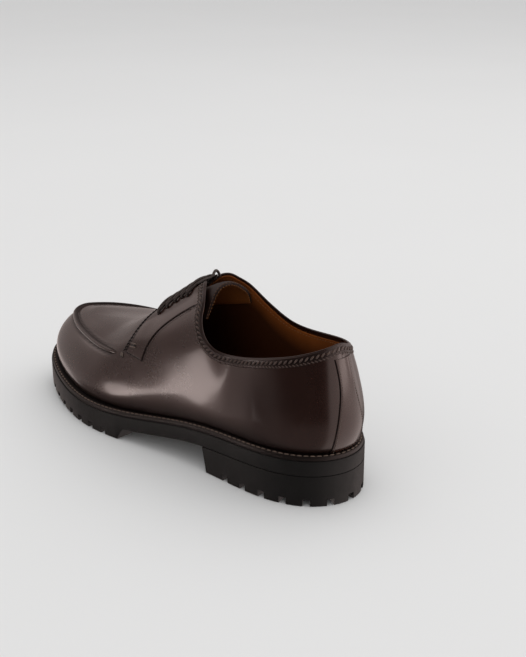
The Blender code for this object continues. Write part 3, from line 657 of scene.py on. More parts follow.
# Collar, top corner to heel, in degrees: foot, top and lift (outer side), top and lift (inner side)
COLLAR_ROWS = np.array([
    (82, 79.7, 76, 79.9, 85), (79, 76.1, 62.6, 77.4, 76.3), (76, 74.1, 53.2, 75.6, 67),
    (73.3, 73.1, 44.6, 73, 58.8), (70, 70.7, 36, 69.9, 48.9), (66.5, 67.3, 31, 66.2, 41),
    (61, 62.3, 29.1, 60.9, 34.6), (53.5, 53.5, 30.3, 53.5, 32.2), (44, 44, 32.9, 44, 32.8),
    (33, 33, 36, 33, 35), (20, 20, 39.4, 20, 37.8), (9, 9, 41.4, 9, 40.6), (0, 0, 42, 0, 42)])
# Apron seam from the toe to its end: angle round the outline, lift
SEAM_ROWS = np.array([
    (180, 51.0), (165, 50.0), (150, 48.5), (137, 45.5), (124, 42.4), (112.7, 38.0), (101.5, 31.8)])
# Apron under its piping: depth in millimetres, and the lift and the turn over which it is reached
APRON_SINK = 2.0
APRON_SINK_RISE = 16.0
APRON_SINK_RUN = 16.0
# Facing, front and rear edge from the bottom up: angle and lift (outer side), angle and lift (inner side)
FACING_FRONT_ROWS = np.array([
    (98.6, 32.0, 98.6, 32.0), (97.4, 40.5, 97.4, 40.5), (97.0, 51.0, 97.0, 52.0), (97.0, 62.0, 97.0, 65.0),
    (95.9, 70.5, 96.0, 76.0), (93.6, 74.6, 93.6, 81.4), (90.3, 75.0, 90.2, 82.2), (86.0, 75.2, 85.8, 83.8),
    (83.9, 75.2, 83.4, 84.2), (80.9, 75.4, 81.3, 84.6)])
FACING_REAR_ROWS = np.array([
    (91.6, 25.2, 91.6, 25.2), (91.2, 30.0, 91.2, 30.0), (90.6, 34.6, 90.6, 34.6), (89.0, 41.0, 89.0, 41.0),
    (86.6, 45.6, 86.6, 45.8), (84.0, 48.4, 83.8, 49.2), (81.6, 50.4, 80.8, 52.4), (79.6, 51.6, 77.8, 55.2),
    (79.2, 52.0, 77.2, 56.0), (75.6, 54.0, 74.6, 57.6)])
# Soft swells of the hand-pulled outer side: one row per lift, one column per station, heights in millimetres
SWELL_STATIONS = np.arange(50.0, 216.0, 15.0)
SWELL_LIFTS = np.array([12.0, 24.0, 36.0, 48.0])
SWELL_LENGTH = 13.0
SWELL_RISE = 11.0
SWELL_FADE = 10.0
SWELLS = np.array([
    (0.40, -0.18, -0.74, -0.46, -0.01, 0.26, 0.31, 0.27, 0.16, -0.38, 0.05, 0.22),
    (-0.60, -0.72, -1.07, -0.04, 0.38, 0.63, 0.42, 0.28, -0.32, -0.06, 0.29, -0.25),
    (-0.50, -0.10, -0.94, 1.10, 1.10, 0.90, 1.10, 0.61, 1.10, 0.74, 0.02, -0.12),
    (0.0, -0.02, -0.09, 0.20, 0.38, 0.38, 0.26, 0.03, 1.02, -0.36, -0.38, -0.48)])
# Edge of the stiff heel counter under the skin, from the top down: angle round the outline, lift
COUNTER_ROWS = np.array([(20.2, 40.4), (22.5, 34.6), (24.1, 26.9), (25.6, 20.0), (28.4, 13.4), (33.0, 4.0)])

bulge_depth, profile_power, bulge_height = [spline(SECTION_ROWS[:, 0], SECTION_ROWS[:, k]) for k in (2, 3, 4)]
ridge_x, ridge_height = [spline(RIDGE_ROWS[:, 0], RIDGE_ROWS[:, k]) for k in (1, 2)]
seam_lift_at = spline(SEAM_ROWS[::-1, 0], SEAM_ROWS[::-1, 1])


def last_point(angle, lift):
    """Point of the last: angle round the outline, lift from the feather line up to the ridge."""
    along = station(angle)
    foot_x, foot_y = outline(angle, feather_inset(along))
    foot_z = rim_height(along) + WELT_THICK + GAP
    crest_y = RIDGE_BACK + (RIDGE_FRONT - RIDGE_BACK) * (1 - np.cos(angle)) / 2
    crest_x = ridge_x(crest_y)
    rise = ridge_height(crest_y) - foot_z
    power = 2 / profile_power(along)
    reach = np.maximum(np.cos(lift), 1e-9) ** power
    climb = rise * np.maximum(np.sin(lift), 1e-9) ** power
    level = climb / bulge_height(along)
    out_x = foot_x - crest_x
    out_y = foot_y - crest_y
    reach = reach + bulge_depth(along) * level * np.exp(1 - level) / (np.hypot(out_x, out_y) + 1e-9)
    return np.stack([crest_x + out_x * reach, crest_y + out_y * reach, foot_z + climb], -1)


def last_slopes(angle, lift):
    nudge = 1e-4
    inside = np.clip(lift, 2 * nudge, math.pi / 2 - 20 * nudge)
    round_way = (last_point(angle + nudge, inside) - last_point(angle - nudge, inside)) / (2 * nudge)
    up_way = (last_point(angle, inside + nudge) - last_point(angle, inside - nudge)) / (2 * nudge)
    return round_way, up_way


def last_normal(angle, lift):
    return unit(np.cross(*last_slopes(angle, lift)))


def bell(distance, width):
    return np.exp(-(distance / width) ** 2)


def settled(share):
    """Soft rise from 0 to 1, level at both ends."""
    share = np.clip(share, 0, 1)
    return share * share * (3 - 2 * share)


def apron_sink(angle, lift):
    """Depth of the apron under its piping, softly reached from the seam inward."""
    turn = np.degrees(np.abs((angle + math.pi) % (2 * math.pi) - math.pi))
    over = np.degrees(lift) - seam_lift_at(np.clip(turn, SEAM_ROWS[-1, 0], 180))
    return APRON_SINK * settled(over / APRON_SINK_RISE) * settled((turn - SEAM_ROWS[-1, 0]) / APRON_SINK_RUN)


def side_swell(lift, points):
    """Height of the hand-pulled swells over the last, on the outer side only."""
    lift = np.degrees(lift)
    along = bell(points[..., 1, None] - SWELL_STATIONS, SWELL_LENGTH)
    rising = bell(lift[..., None] - SWELL_LIFTS, SWELL_RISE)
    outer = np.clip((ridge_x(points[..., 1]) - points[..., 0]) / SWELL_FADE, 0, 1)
    return np.clip(lift / SWELL_FADE, 0, 1) * outer * np.einsum("...i,ij,...j->...", rising, SWELLS, along)


def last_offset(angle, lift, offset):
    """Point of the hand-pulled wall moved out along the last's normal."""
    angle, lift, offset = np.broadcast_arrays(angle, lift, offset)
    points = last_point(angle, lift)
    height = offset + side_swell(lift, points) - apron_sink(angle, lift)
    return points + last_normal(angle, lift) * height[..., None]


def row_spline(rows, count):
    """Smooth line through rows given in degrees, read at evenly counted places."""
    index = np.arange(len(rows))
    at = np.linspace(0, len(rows) - 1, count)
    return np.radians(np.stack([spline(index, rows[:, k])(at) for k in range(rows.shape[1])], -1))


def collar_run(columns):
    """Collar from the outer top corner round the heel to the inner one: foot, top and lift of the top."""
    outer = COLLAR_ROWS[:, [0, 1, 2]] * (-1, -1, 1)
    return row_spline(np.concatenate([outer, COLLAR_ROWS[-2::-1, [0, 3, 4]]]), 2 * columns + 1)


def throat_side(wanted):
    """Columns of one side from the toe to the top corner: foot, top and lift of the top."""
    rows = []
    for now, after in zip(THROAT_ROWS[:-1], THROAT_ROWS[1:]):
        steps = int(now[5]) * THROAT_FINENESS
        for k in range(steps):
            rows.append((now + (after - now) * k / steps)[wanted])
    return np.radians(np.array(rows))


def seam_line(count):
    """Apron seam from its outer end round the toe to its inner end: angle and lift."""
    turn = np.concatenate([SEAM_ROWS[::-1, 0], 360 - SEAM_ROWS[1:, 0]])
    lift = np.concatenate([SEAM_ROWS[::-1, 1], SEAM_ROWS[1:, 1]])
    angle = np.linspace(turn[0], turn[-1], count)
    return -np.radians(angle), np.radians(spline(turn, lift)(angle))


def facing_line(rows, side, count):
    line = row_spline(rows[:, [0, 1] if side < 0 else [2, 3]], count)
    return side * line[:, 0], line[:, 1]


def nearest_on(points, line):
    """Distance of each point to a line of points, and the share of the line where it comes nearest."""
    flat = points.reshape(-1, 3)
    distance = np.empty(len(flat))
    share = np.empty(len(flat))
    for start in range(0, len(flat), 4000):
        part = slice(start, start + 4000)
        apart = ((flat[part, None] - line[None]) ** 2).sum(-1)
        distance[part] = np.sqrt(apart.min(1))
        share[part] = apart.argmin(1) / (len(line) - 1)
    return distance.reshape(points.shape[:-1]), share.reshape(points.shape[:-1])


# Grooves in the skin beside the apron's piping and behind the facings: widths, depths, and widths of the painted
# shade in them; and the lift over which shade is painted low along the welt
SEAM_GROOVE_PLACE = 2.9
SEAM_GROOVE_WIDTH = 0.9
SEAM_GROOVE_DEPTH = 0.5
SEAM_SHADE_WIDTH = 0.75
SEAM_FADE = 0.05
FACING_GROOVE_WIDTH = 0.9
FACING_GROOVE_DEPTH = 0.25
FACING_SHADE_WIDTH = 0.55
FOOT_SHADE_LIFT = 3.5
# Heel counter under the skin: step, its softness, lift at which it is full, and the ridge along its edge
COUNTER_STEP = 0.40
COUNTER_SOFT = 2.5
COUNTER_FULL = 12.0
COUNTER_RIDGE = 0.42
COUNTER_RIDGE_WIDTH = 1.6
# Less polished patch low on the outer quarter: station and lift of its middle, with its reach each way
DULL_STATION, DULL_LENGTH = 47.0, 17.0
DULL_LIFT, DULL_RISE = 14.0, 16.0


def upper_relief(angle, lift, points):
    """Height of the skin over the last, and where shade is painted on it: seam grooves, the edge of the heel
    counter and a hand-pulled unevenness."""
    seam, seam_share = nearest_on(points, last_point(*seam_line(500)))
    inside = np.clip(np.minimum(seam_share, 1 - seam_share) / SEAM_FADE, 0, 1)
    facing = np.full(points.shape[:-1], 1e9)
    relief = np.zeros(points.shape[:-1])
    for side in (-1, 1):
        rear = last_point(*facing_line(FACING_REAR_ROWS, side, 160))
        facing = np.minimum(facing, nearest_on(points, rear)[0])
        edge_angle, edge_lift = row_spline(COUNTER_ROWS, 80).T
        counter, down = nearest_on(points, last_point(side * edge_angle, edge_lift))
        strong = np.sin(math.pi * np.clip(down * 0.9 + 0.05, 0, 1))
        behind = side * angle < np.interp(lift, edge_lift[::-1], edge_angle[::-1])
        soft = 0.5 * bell(counter, COUNTER_SOFT)
        stepped = (side * angle > 0) * np.where(behind, 1 - soft, soft)
        relief += COUNTER_STEP * stepped * np.clip(np.degrees(lift) / COUNTER_FULL, 0, 1)
        relief += COUNTER_RIDGE * strong * bell(counter, COUNTER_RIDGE_WIDTH)
    x, y, z = points[..., 0], points[..., 1], points[..., 2]
    relief += 0.10 * np.sin(x / 13 + y / 29 + 1.1) * np.sin(z / 15 + y / 41)
    relief += 0.07 * np.sin(y / 17 - z / 23 + 0.4)
    groove = inside * bell(seam - SEAM_GROOVE_PLACE, SEAM_GROOVE_WIDTH)
    relief -= SEAM_GROOVE_DEPTH * groove + FACING_GROOVE_DEPTH * bell(facing, FACING_GROOVE_WIDTH)
    # Painted shade: darker in the grooves beside the piping and behind the facings, and low along the welt.
    shade = 0.95 * inside * bell(seam - SEAM_GROOVE_PLACE, SEAM_SHADE_WIDTH)
    shade += 0.7 * bell(facing, FACING_SHADE_WIDTH) + 0.8 * bell(np.degrees(lift), FOOT_SHADE_LIFT)
    return relief, np.clip(shade, 0, 1)


def wall_grid(rows, drop):
    """Angle and lift of each column of the wall, from the feather line to its top."""
    share = np.linspace(0, 1, rows + 1)
    top = wall_columns[:, 2] - np.where(wall_columns[:, 2] > CLOSED_LIFT, 0.0, drop)
    angle = wall_columns[:, 0, None] * (1 - share) + wall_columns[:, 1, None] * share
    return angle, top[:, None] * share


def ridge_closed(points):
    """Bring the top points of the two sides together along the closed toe."""
    for k in range(1, closed_columns):
        middle = (points[k, -1] + points[-1 - k, -1]) / 2
        points[k, -1] = middle
        points[-1 - k, -1] = middle
    return points


outer_side = throat_side([0, 1, 2])
inner_side = throat_side([0, 3, 4])
closed_columns = int(np.sum(outer_side[:, 2] > CLOSED_LIFT))
left_side = outer_side * (-1, -1, 1)
wall_columns = np.concatenate([left_side, collar_run(COLLAR_COLUMNS), inner_side[:0:-1], left_side[:1]])
upper_angle, upper_lift = wall_grid(UPPER_ROWS, 0.0)
relief, burnish = upper_relief(upper_angle, upper_lift, last_point(upper_angle, upper_lift))
dull = bell(station(upper_angle) - DULL_STATION, DULL_LENGTH) * (upper_angle < 0)
dull = dull * bell(np.degrees(upper_lift) - DULL_LIFT, DULL_RISE)
upper = sheet("upper_body", ridge_closed(last_offset(upper_angle, upper_lift, relief)),
              ridge_closed(last_offset(upper_angle, upper_lift, np.full_like(relief, -UPPER_SKIN))),
              {"burnish": burnish, "dull": dull})
crest = last_point(np.radians(np.linspace(CREST_START, 180, 120)), math.pi / 2)
spots = np.array([tuple(spot.co) for spot in upper.data.vertices]) / MM + MIDDLE
bpy.ops.object.mode_set(mode="EDIT")
bpy.ops.mesh.select_all(action="DESELECT")
bpy.ops.object.mode_set(mode="OBJECT")
upper.data.vertices.foreach_set("select", nearest_on(spots, crest)[0] < CREST_REACH)
bpy.ops.object.mode_set(mode="EDIT")
bpy.ops.mesh.vertices_smooth(factor=0.5, repeat=CREST_SMOOTHING)
bpy.ops.object.mode_set(mode="OBJECT")
upper_calf = calf("upper_calf", (0.0240, 0.0071, 0.0042), (0.0138, 0.0039, 0.0023))
fitted(upper, [upper_calf], ["upper"], 50.0)

lining_angle, lining_lift = wall_grid(LINING_ROWS, LINING_DROP)
lining_inner = ridge_closed(last_offset(lining_angle, lining_lift, -UPPER_WALL))
below_edge = lining_inner[:, -1:, 2] - lining_inner[..., 2]
lining_outer = ridge_closed(last_offset(lining_angle, lining_lift, -UPPER_SKIN - LINING_GLUE))
# Painted shade: the lining darkens from a little below its top edge down into the shoe.
lining_shade = np.clip((below_edge - LINING_SHADE_START) / LINING_SHADE, 0, 1)
lining = sheet("lining", lining_outer, lining_inner, {"burnish": lining_shade})
lining_tan = lining_leather("lining_tan", (0.28, 0.078, 0.012), (0.18, 0.046, 0.006))
fitted(lining, [lining_tan], sharp=50.0)

# Apron ridge: the raised piping where the toe's top piece is sewn into the sides, a folded strip of calf.
# It is round on the outside and drops steeply on the inside; a small knot of thread holds each end.
PIPING_COLUMNS = 260
PIPING_END = 6
# Piping section from the outside in: sideways place, height, share of the painted shade
PIPING_SECTION = (
    (-2.35, -0.35, 1.0), (-2.3, 0.15, 1.0), (-2.1, 0.9, 0.8), (-1.7, 1.55, 0.2), (-1.1, 2.05, 0.0),
    (-0.4, 2.32, 0.0), (0.3, 2.4, 0.2), (0.9, 2.25, 0.6), (1.35, 1.9, 0.9), (1.65, 1.35, 1.0),
    (1.85, 0.6, 1.0), (2.0, -0.35, 1.0))
KNOT_STITCH = (4.4, 1.3, 1.3)
KNOT_WRAP = (3.2, 0.9, 0.9)
KNOT_PLACE = (99.6, 30.6)
KNOT_SHIFTS = (-1.5, -0.5, 0.5, 1.5)
KNOT_RISE = 0.7
WRAP_SHIFTS = (-0.8, 0.8)
WRAP_RISE = 1.15
WRAP_SLANT = math.radians(18)

seam_angle, seam_lift = seam_line(PIPING_COLUMNS)
seam_base = last_point(seam_angle, seam_lift)
seam_up = last_normal(seam_angle, seam_lift)
seam_along = unit(np.gradient(seam_base, axis=0))
seam_aside = np.cross(seam_along, seam_up)
ends = np.minimum(np.arange(PIPING_COLUMNS), np.arange(PIPING_COLUMNS)[::-1]) / PIPING_END
fade = np.clip(ends, 0.05, 1.0) ** 0.6
piping = []
piping_painted_shade = []
# Shade is painted on both flanks of the piping, darkest at its foot on either side.
for wide, high, edge_dye_and_shade_share in PIPING_SECTION + PIPING_SECTION[:1]:
    piping.append(seam_base + seam_aside * (wide * fade)[:, None] + seam_up * (high * fade)[:, None])
    piping_painted_shade.append(edge_dye_and_shade_share + 0 * fade)
ridge = closed_up(laid_grid("apron_piping", np.stack(piping, 1), {"burnish": np.stack(piping_painted_shade, 1)}))
ridge_calf = calf("ridge_calf", (0.0210, 0.0064, 0.0040), (0.0118, 0.0035, 0.0022), 0.26, 0.6)
fitted(ridge, [ridge_calf], ["apron_ridge"], 70.0)


def tack(name, centre, along, aside, up, shifts, size, look, slant=0.0):
    """A few stitches laid side by side over one place."""
    shifts = np.array(shifts)[:, None]
    same = np.ones_like(shifts)
    return stitches(name, centre + aside * shifts, along * same, up * same, size, look, slant)


knot_thread = thread("knot_thread", (0.012, 0.0075, 0.0060), 0.28)
# Light thread for the wrap over the dark knot: painted glints.
knot_light_thread = thread("knot_light_thread", (0.20, 0.145, 0.118), 0.3)
for name, side, end in (("lateral", -1, 0), ("medial", 1, -1)):
    spot = np.radians(KNOT_PLACE) * (side, 1)
    knot_base, knot_up, knot_along = last_point(*spot), last_normal(*spot), seam_along[end]
    knot_aside = np.cross(knot_up, knot_along)
    tack("seam_knot_" + name, knot_base + knot_up * KNOT_RISE, knot_along, knot_aside, knot_up, KNOT_SHIFTS,
         KNOT_STITCH, knot_thread)
    tack("seam_knot_wrap_" + name, knot_base + knot_up * WRAP_RISE, knot_aside, knot_along, knot_up, WRAP_SHIFTS,
         KNOT_WRAP, knot_light_thread, WRAP_SLANT)

# Facings: one overlay each side that carries five punched eyelets, of the same calf.
# The front edge is cut thick, given dark edge dye and painted shade, and stitched; the rear and bottom edges are
# skived, stitched down and given painted shade along them.
# A bar of thread holds the lower front corner of each.
FACING_THICK = 0.95
FACING_SKIVED = 0.35
FACING_TAPER = 13.0
FACING_CLIMB = 30.0
FACING_EDGE = 0.7
FACING_SEAT = 0.12
FACING_ROWS = 90
FACING_ACROSS = 36
EYELET_RADIUS = 1.5
EYELET_CUT_HALF = 4.5
SEAM_STITCH = (1.35, 0.5, 0.5)
SEAM_PITCH = 1.75
SEAM_INSET = 1.3
EDGE_STITCH = (2.9, 1.5, 1.4)
EDGE_PITCH = 2.6
EDGE_INSET = 0.8
EDGE_SLANT = 0.3
FOOT_STITCH = (1.7, 0.75, 0.7)
FOOT_PITCH = 1.6
FOOT_LIFT = 0.006
FOOT_SLANT = math.radians(75)
BAR_STITCH = (7.0, 1.1, 1.1)
BAR_SHADE_CORE = (5.6, 1.3, 0.9)
BAR_SPACING = 1.2
BAR_ENDS = np.radians(((97.6, 36.6), (94.4, 34.4)))
# Eyelets from the bottom up: angle round the outline, lift (outer side), lift (inner side)
EYELET_ROWS = np.radians(np.array([
    (93.0, 58.0, 63.5), (90.8, 61.6, 68.5), (88.4, 64.2, 72.0), (85.9, 65.4, 74.0), (83.4, 64.4, 73.5)]))


def eased(distance, radius):
    """Rise of a rounded edge from its rim inward, from 0 to 1."""
    share = np.clip(distance / radius, 0, 1)
    return np.sqrt(1 - (1 - share) ** 2)


def grid_between(first, last, columns):
    share = np.linspace(0, 1, columns)
    share = settled(share) * 0.5 + share * 0.5
    return first[:, None] * (1 - share) + last[:, None] * share


def rim_distance(points):
    """Distance of each grid point to the start and end of its row and of its column."""
    across, down = run_along(points, 1), run_along(points)
    return across, across[:, -1:] - across, down, down[-1:] - down


def inset_on_last(angle, lift, distance):
    """Carry a line drawn on the last sideways over its surface, to its right hand seen from outside."""
    points = last_point(angle, lift)
    aside = np.cross(unit(np.gradient(points, axis=0)), last_normal(angle, lift)) * distance
    round_way, up_way = last_slopes(angle, lift)
    a = (round_way * round_way).sum(-1)
    b = (round_way * up_way).sum(-1)
    c = (up_way * up_way).sum(-1)
    p = (round_way * aside).sum(-1)
    q = (up_way * aside).sum(-1)
    size = a * c - b * b
    return angle + (c * p - b * q) / size, lift + (a * q - b * p) / size


def sew(name, angle, lift, offset, pitch, size, look, slot, slant=0.0):
    """Stitches along a line drawn on the last."""
    line = last_offset(angle, lift, offset)
    return sewn_row(name, line, last_normal(angle, lift), pitch, size, look, slant)


def eyelets(side):
    return [(side * angle, lifts[0 if side < 0 else 1]) for angle, *lifts in EYELET_ROWS]


def eyelet_cutter(side):
    """Punches through facing, upper and lining: cylinders laid along the last's normals."""
    punches = []
    for angle, lift in eyelets(side):
        bpy.ops.mesh.primitive_cylinder_add(
            vertices=28, radius=EYELET_RADIUS * MM, depth=2 * EYELET_CUT_HALF * MM,
            location=(last_point(angle, lift) - MIDDLE) * MM,
            rotation=Vector((0.0, 0.0, 1.0)).rotation_difference(Vector(last_normal(angle, lift))).to_euler())
        punches.append(bpy.context.active_object)
    return joined(punches)


facing_calf = calf("facing_calf", (0.0225, 0.0067, 0.0040), (0.0128, 0.0037, 0.0022))
seam_thread = thread("seam_thread", (0.040, 0.023, 0.018), 0.4)
edge_thread = thread("edge_thread", (0.010, 0.0052, 0.0042), 0.42)
bar_thread = thread("bar_thread", (0.14, 0.098, 0.080), 0.3)
for name, side in (("lateral", -1), ("medial", 1)):
    front_angle, front_lift = facing_line(FACING_FRONT_ROWS, side, FACING_ROWS)
    rear_angle, rear_lift = facing_line(FACING_REAR_ROWS, side, FACING_ROWS)
    angle = grid_between(front_angle, rear_angle, FACING_ACROSS)
    lift = grid_between(front_lift, rear_lift, FACING_ACROSS)
    from_front, from_rear, from_foot, from_top = rim_distance(last_point(angle, lift))
    thick = 1 - settled(from_front / FACING_TAPER)
    thick = FACING_SKIVED + (FACING_THICK - FACING_SKIVED) * thick * settled(from_foot / FACING_CLIMB)
    thick = thick * (0.45 + 0.55 * eased(from_front, FACING_EDGE)) * (0.35 + 0.65 * eased(from_rear, 0.5))
    thick = thick * (0.35 + 0.65 * eased(from_foot, 0.5)) * (0.05 + 0.95 * settled((from_top - 2) / 5))
    # Darker along its edges: dark edge dye with painted shade along the front edge, painted shade along the rear
    # seam and the foot.
    edge_dye_and_shade_share = 1.1 * bell(from_front, 1.1) + 0.75 * bell(from_rear, 0.45) + 0.9 * bell(from_foot, 0.7)
    facing = sheet("facing_" + name + "_calf", last_offset(angle, lift, thick + FACING_SEAT),
                   last_offset(angle, lift, -0.25), {"burnish": np.clip(edge_dye_and_shade_share, 0, 1)})
    fitted(facing, [facing_calf], ["facing_" + name], 60.0)
    for wall in (facing, upper, lining):
        carve(wall, eyelet_cutter(side))
        smooth(wall, 50.0)
    row = inset_on_last(rear_angle, rear_lift, -side * SEAM_INSET)
    sew("facing_rear_stitches_" + name, *row, FACING_SKIVED + 0.15, SEAM_PITCH, SEAM_STITCH, seam_thread,
        "facing_leather")
    row = inset_on_last(front_angle, front_lift, side * EDGE_INSET)
    sew("facing_front_stitches_" + name, *row, FACING_THICK + 0.1, EDGE_PITCH, EDGE_STITCH, edge_thread,
        "facing_leather", side * EDGE_SLANT)
    share = np.linspace(0.12, 0.9, 30)
    foot_angle = front_angle[0] * (1 - share) + rear_angle[0] * share
    foot_lift = front_lift[0] * (1 - share) + rear_lift[0] * share + FOOT_LIFT
    sew("facing_foot_stitches_" + name, foot_angle, foot_lift, FACING_SKIVED, FOOT_PITCH, FOOT_STITCH, edge_thread,
        "facing_leather", FOOT_SLANT)
    first, last = last_offset(side * BAR_ENDS[:, 0], BAR_ENDS[:, 1], FACING_SKIVED + 0.5)
    bar_up = last_normal(side * BAR_ENDS.mean(0)[0], BAR_ENDS.mean(0)[1])
    bar_along, bar_aside = last - first, unit(np.cross(bar_up, last - first))
    # The bar is light thread on both sides of a dark core: painted highlight on its rim and painted shade inside
    # the loop.
    for piece, shifts, size, look in (("facing_bar_", (-BAR_SPACING, BAR_SPACING), BAR_STITCH, bar_thread),
                                      ("facing_bar_core_", (0.0,), BAR_SHADE_CORE, edge_thread)):
        tack(piece + name, (first + last) / 2, bar_along, bar_aside, bar_up, shifts, size, look)

# Collar trim: the rolled top edge of the upper, and a narrow band below it sewn with thick diagonal stitches.
# A second, finer row of stitches holds the band's lower edge, and one more holds the lining inside.
ROLL_RADIUS = 0.75
ROLL_SIDES = 12
TRIM_COLUMNS = 200
TRIM_THICK = 0.75
# Band from the roll down: distance from the collar's edge, share of its thickness
BAND_STEPS = (
    (0.0, 0.35), (0.5, 0.75), (1.1, 0.75), (1.7, 0.45), (2.6, 0.2), (3.5, 0.45), (4.3, 0.75), (5.3, 0.65),
    (6.0, 0.05))
BAND_SEW = 0.6
BOLD_PLACE = 2.7
BOLD_PITCH = 3.5
BOLD_STITCH = (3.6, 1.35, 1.4)
BOLD_SLANT = math.radians(38)
FINE_PLACE = 5.2
FINE_PITCH = 2.4
FINE_STITCH = (2.3, 0.75, 0.7)
FINE_SLANT = math.radians(-42)
LINING_STITCH_PLACE = 4.5


def tube(path, radius, sides, up):
    """Rings of a round tube along a path, each started from the way up and closed on its first point."""
    along = unit(np.gradient(path, axis=0))
    up = unit(up - along * (up * along).sum(-1, keepdims=True))
    aside = np.cross(along, up)
    radius = np.broadcast_to(radius, len(path))[:, None]
    turn = np.append(np.arange(sides), 0) * 2 * math.pi / sides
    return np.stack([path + (up * math.cos(part) + aside * math.sin(part)) * radius for part in turn], 1)


collar = collar_run(TRIM_COLUMNS)
collar_angle, collar_lift = collar[:, 1], collar[:, 2]
trim_calf = calf("trim_calf", (0.0160, 0.0058, 0.0040), (0.0085, 0.0030, 0.0021), 0.34, 0.3)
roll_path = last_offset(collar_angle, collar_lift, -0.55)
roll_rings = tube(roll_path, ROLL_RADIUS, ROLL_SIDES, last_normal(collar_angle, collar_lift))
roll = closed_up(laid_grid("collar_roll", roll_rings))
fitted(roll, [trim_calf], sharp=80.0)
band_top = []
band_low = []
for step, rise in BAND_STEPS:
    row = inset_on_last(collar_angle, collar_lift, step)
    band_top.append(last_offset(*row, 0.1 + TRIM_THICK * rise))
    band_low.append(last_offset(*row, -0.2))
# Painted shade in the groove under the bold stitches.
band_groove_shade = np.array([bell(step - BOLD_PLACE, 0.9) for step, _ in BAND_STEPS]) + 0 * collar_angle[:, None]
band = sheet("collar_band", np.stack(band_top, 1), np.stack(band_low, 1), {"burnish": band_groove_shade})
fitted(band, [trim_calf], ["collar_trim"], 60.0)
collar_thread = thread("collar_thread", (0.095, 0.060, 0.048), 0.28)
lining_thread = thread("lining_thread", (0.30, 0.13, 0.045), 0.5)
for name, place, pitch, size, slant in (("bold", BOLD_PLACE, BOLD_PITCH, BOLD_STITCH, BOLD_SLANT),
                                        ("fine", FINE_PLACE, FINE_PITCH, FINE_STITCH, FINE_SLANT)):
    row = inset_on_last(collar_angle, collar_lift, place)
    sew("collar_%s_stitches" % name, *row, BAND_SEW, pitch, size, collar_thread, "trim_leather", slant)
row = inset_on_last(collar_angle, collar_lift, LINING_STITCH_PLACE)
sew("lining_stitches", *row, -UPPER_WALL, FINE_PITCH, SEAM_STITCH, lining_thread, "insole_leather")

# Backstay: a strip of the same calf over the seam at the back of the heel, narrowest below the collar.
# Its edges are stitched down with one fine row, and the seam under it shows as a soft upright ridge.
BACKSTAY_THICK = 0.8
BACKSTAY_ROWS = np.array([
    (1.2, 12.7), (9.6, 11.4), (15.8, 9.8), (21.3, 8.2), (26.3, 7.0), (31.4, 7.0), (37.0, 8.0)])
STAY_SEAM_PLACE = 4.2
STAY_SEAM_WIDTH = 1.3
STAY_SEAM_RISE = 0.25
STAY_SEW_INSET = 1.6
STAY_COUNT = 70
STAY_ACROSS = 40

stay_lift = np.radians(np.linspace(BACKSTAY_ROWS[0, 0], BACKSTAY_ROWS[-1, 0], STAY_COUNT))
stay_edge = np.radians(spline(BACKSTAY_ROWS[:, 0], BACKSTAY_ROWS[:, 1])(np.degrees(stay_lift)))
stay_angle = grid_between(-stay_edge, stay_edge, STAY_ACROSS)
stay_lifts = stay_lift[:, None] + 0 * stay_angle
from_left, from_right, _, _ = rim_distance(last_point(stay_angle, stay_lifts))
near_edge = np.minimum(from_left, from_right)
stay_relief = upper_relief(stay_angle, stay_lifts, last_point(stay_angle, stay_lifts))[0]
stay_thick = BACKSTAY_THICK * (0.35 + 0.65 * eased(near_edge, 0.8))
stay_seam = bell(np.degrees(stay_angle) - STAY_SEAM_PLACE, STAY_SEAM_WIDTH)
stay_thick += STAY_SEAM_RISE * stay_seam * np.clip((np.degrees(stay_lifts) - 22) / 8, 0, 1)
backstay = sheet("backstay_strip", last_offset(stay_angle, stay_lifts, stay_relief + stay_thick),
                 last_offset(stay_angle, stay_lifts, stay_relief - 0.3), {"burnish": bell(near_edge, 0.6)})
# The backstay's calf is lighter than the upper's: painted light for the brighter back of the heel; the mark
# darkens it along both edges.
backstay_calf = calf("backstay_calf", (0.0290, 0.0082, 0.0048), (0.0168, 0.0046, 0.0027))
fitted(backstay, [backstay_calf], ["backstay"], 60.0)
for name, side in (("lateral", -1), ("medial", 1)):
    row = inset_on_last(side * stay_edge, stay_lift, -side * STAY_SEW_INSET)
    sew("backstay_stitches_" + name, *row, BACKSTAY_THICK + COUNTER_STEP * 0.9, SEAM_PITCH, SEAM_STITCH,
        bar_thread, "backstay_leather")

# Tongue: carried on under the facings from the apron, of calf with a tan lining on its back.
# Its rear end stands free as an arch inside the collar; the calf is turned over its edge and stitched.
TONGUE_THICK = 2.0
TONGUE_CLEAR = 0.6
TONGUE_FREE = 0.4
TONGUE_LENGTHS = 90
TONGUE_HALF = 26
TONGUE_TURN = 1.0
TONGUE_STITCH_ROW = 86
# Tongue under the facings from the front back: angle round the outline, lift of its side edge
TONGUE_ROWS = np.array([(103, 66), (96, 57), (88, 51), (81, 47), (76, 45)])
# Rear edge from the outer side over to the inner side: sideways, along, height
TONGUE_EDGE_ROWS = np.array([
    (-22.3, 112.0, 100.4), (-20.2, 110.9, 108.2), (-17.3, 109.6, 116.6), (-13.2, 108.1, 122.4),
    (-7.0, 106.5, 124.2), (0.0, 106.0, 122.4), (8.0, 106.8, 117.4), (15.0, 108.7, 111.1),
    (18.6, 110.2, 103.0)])

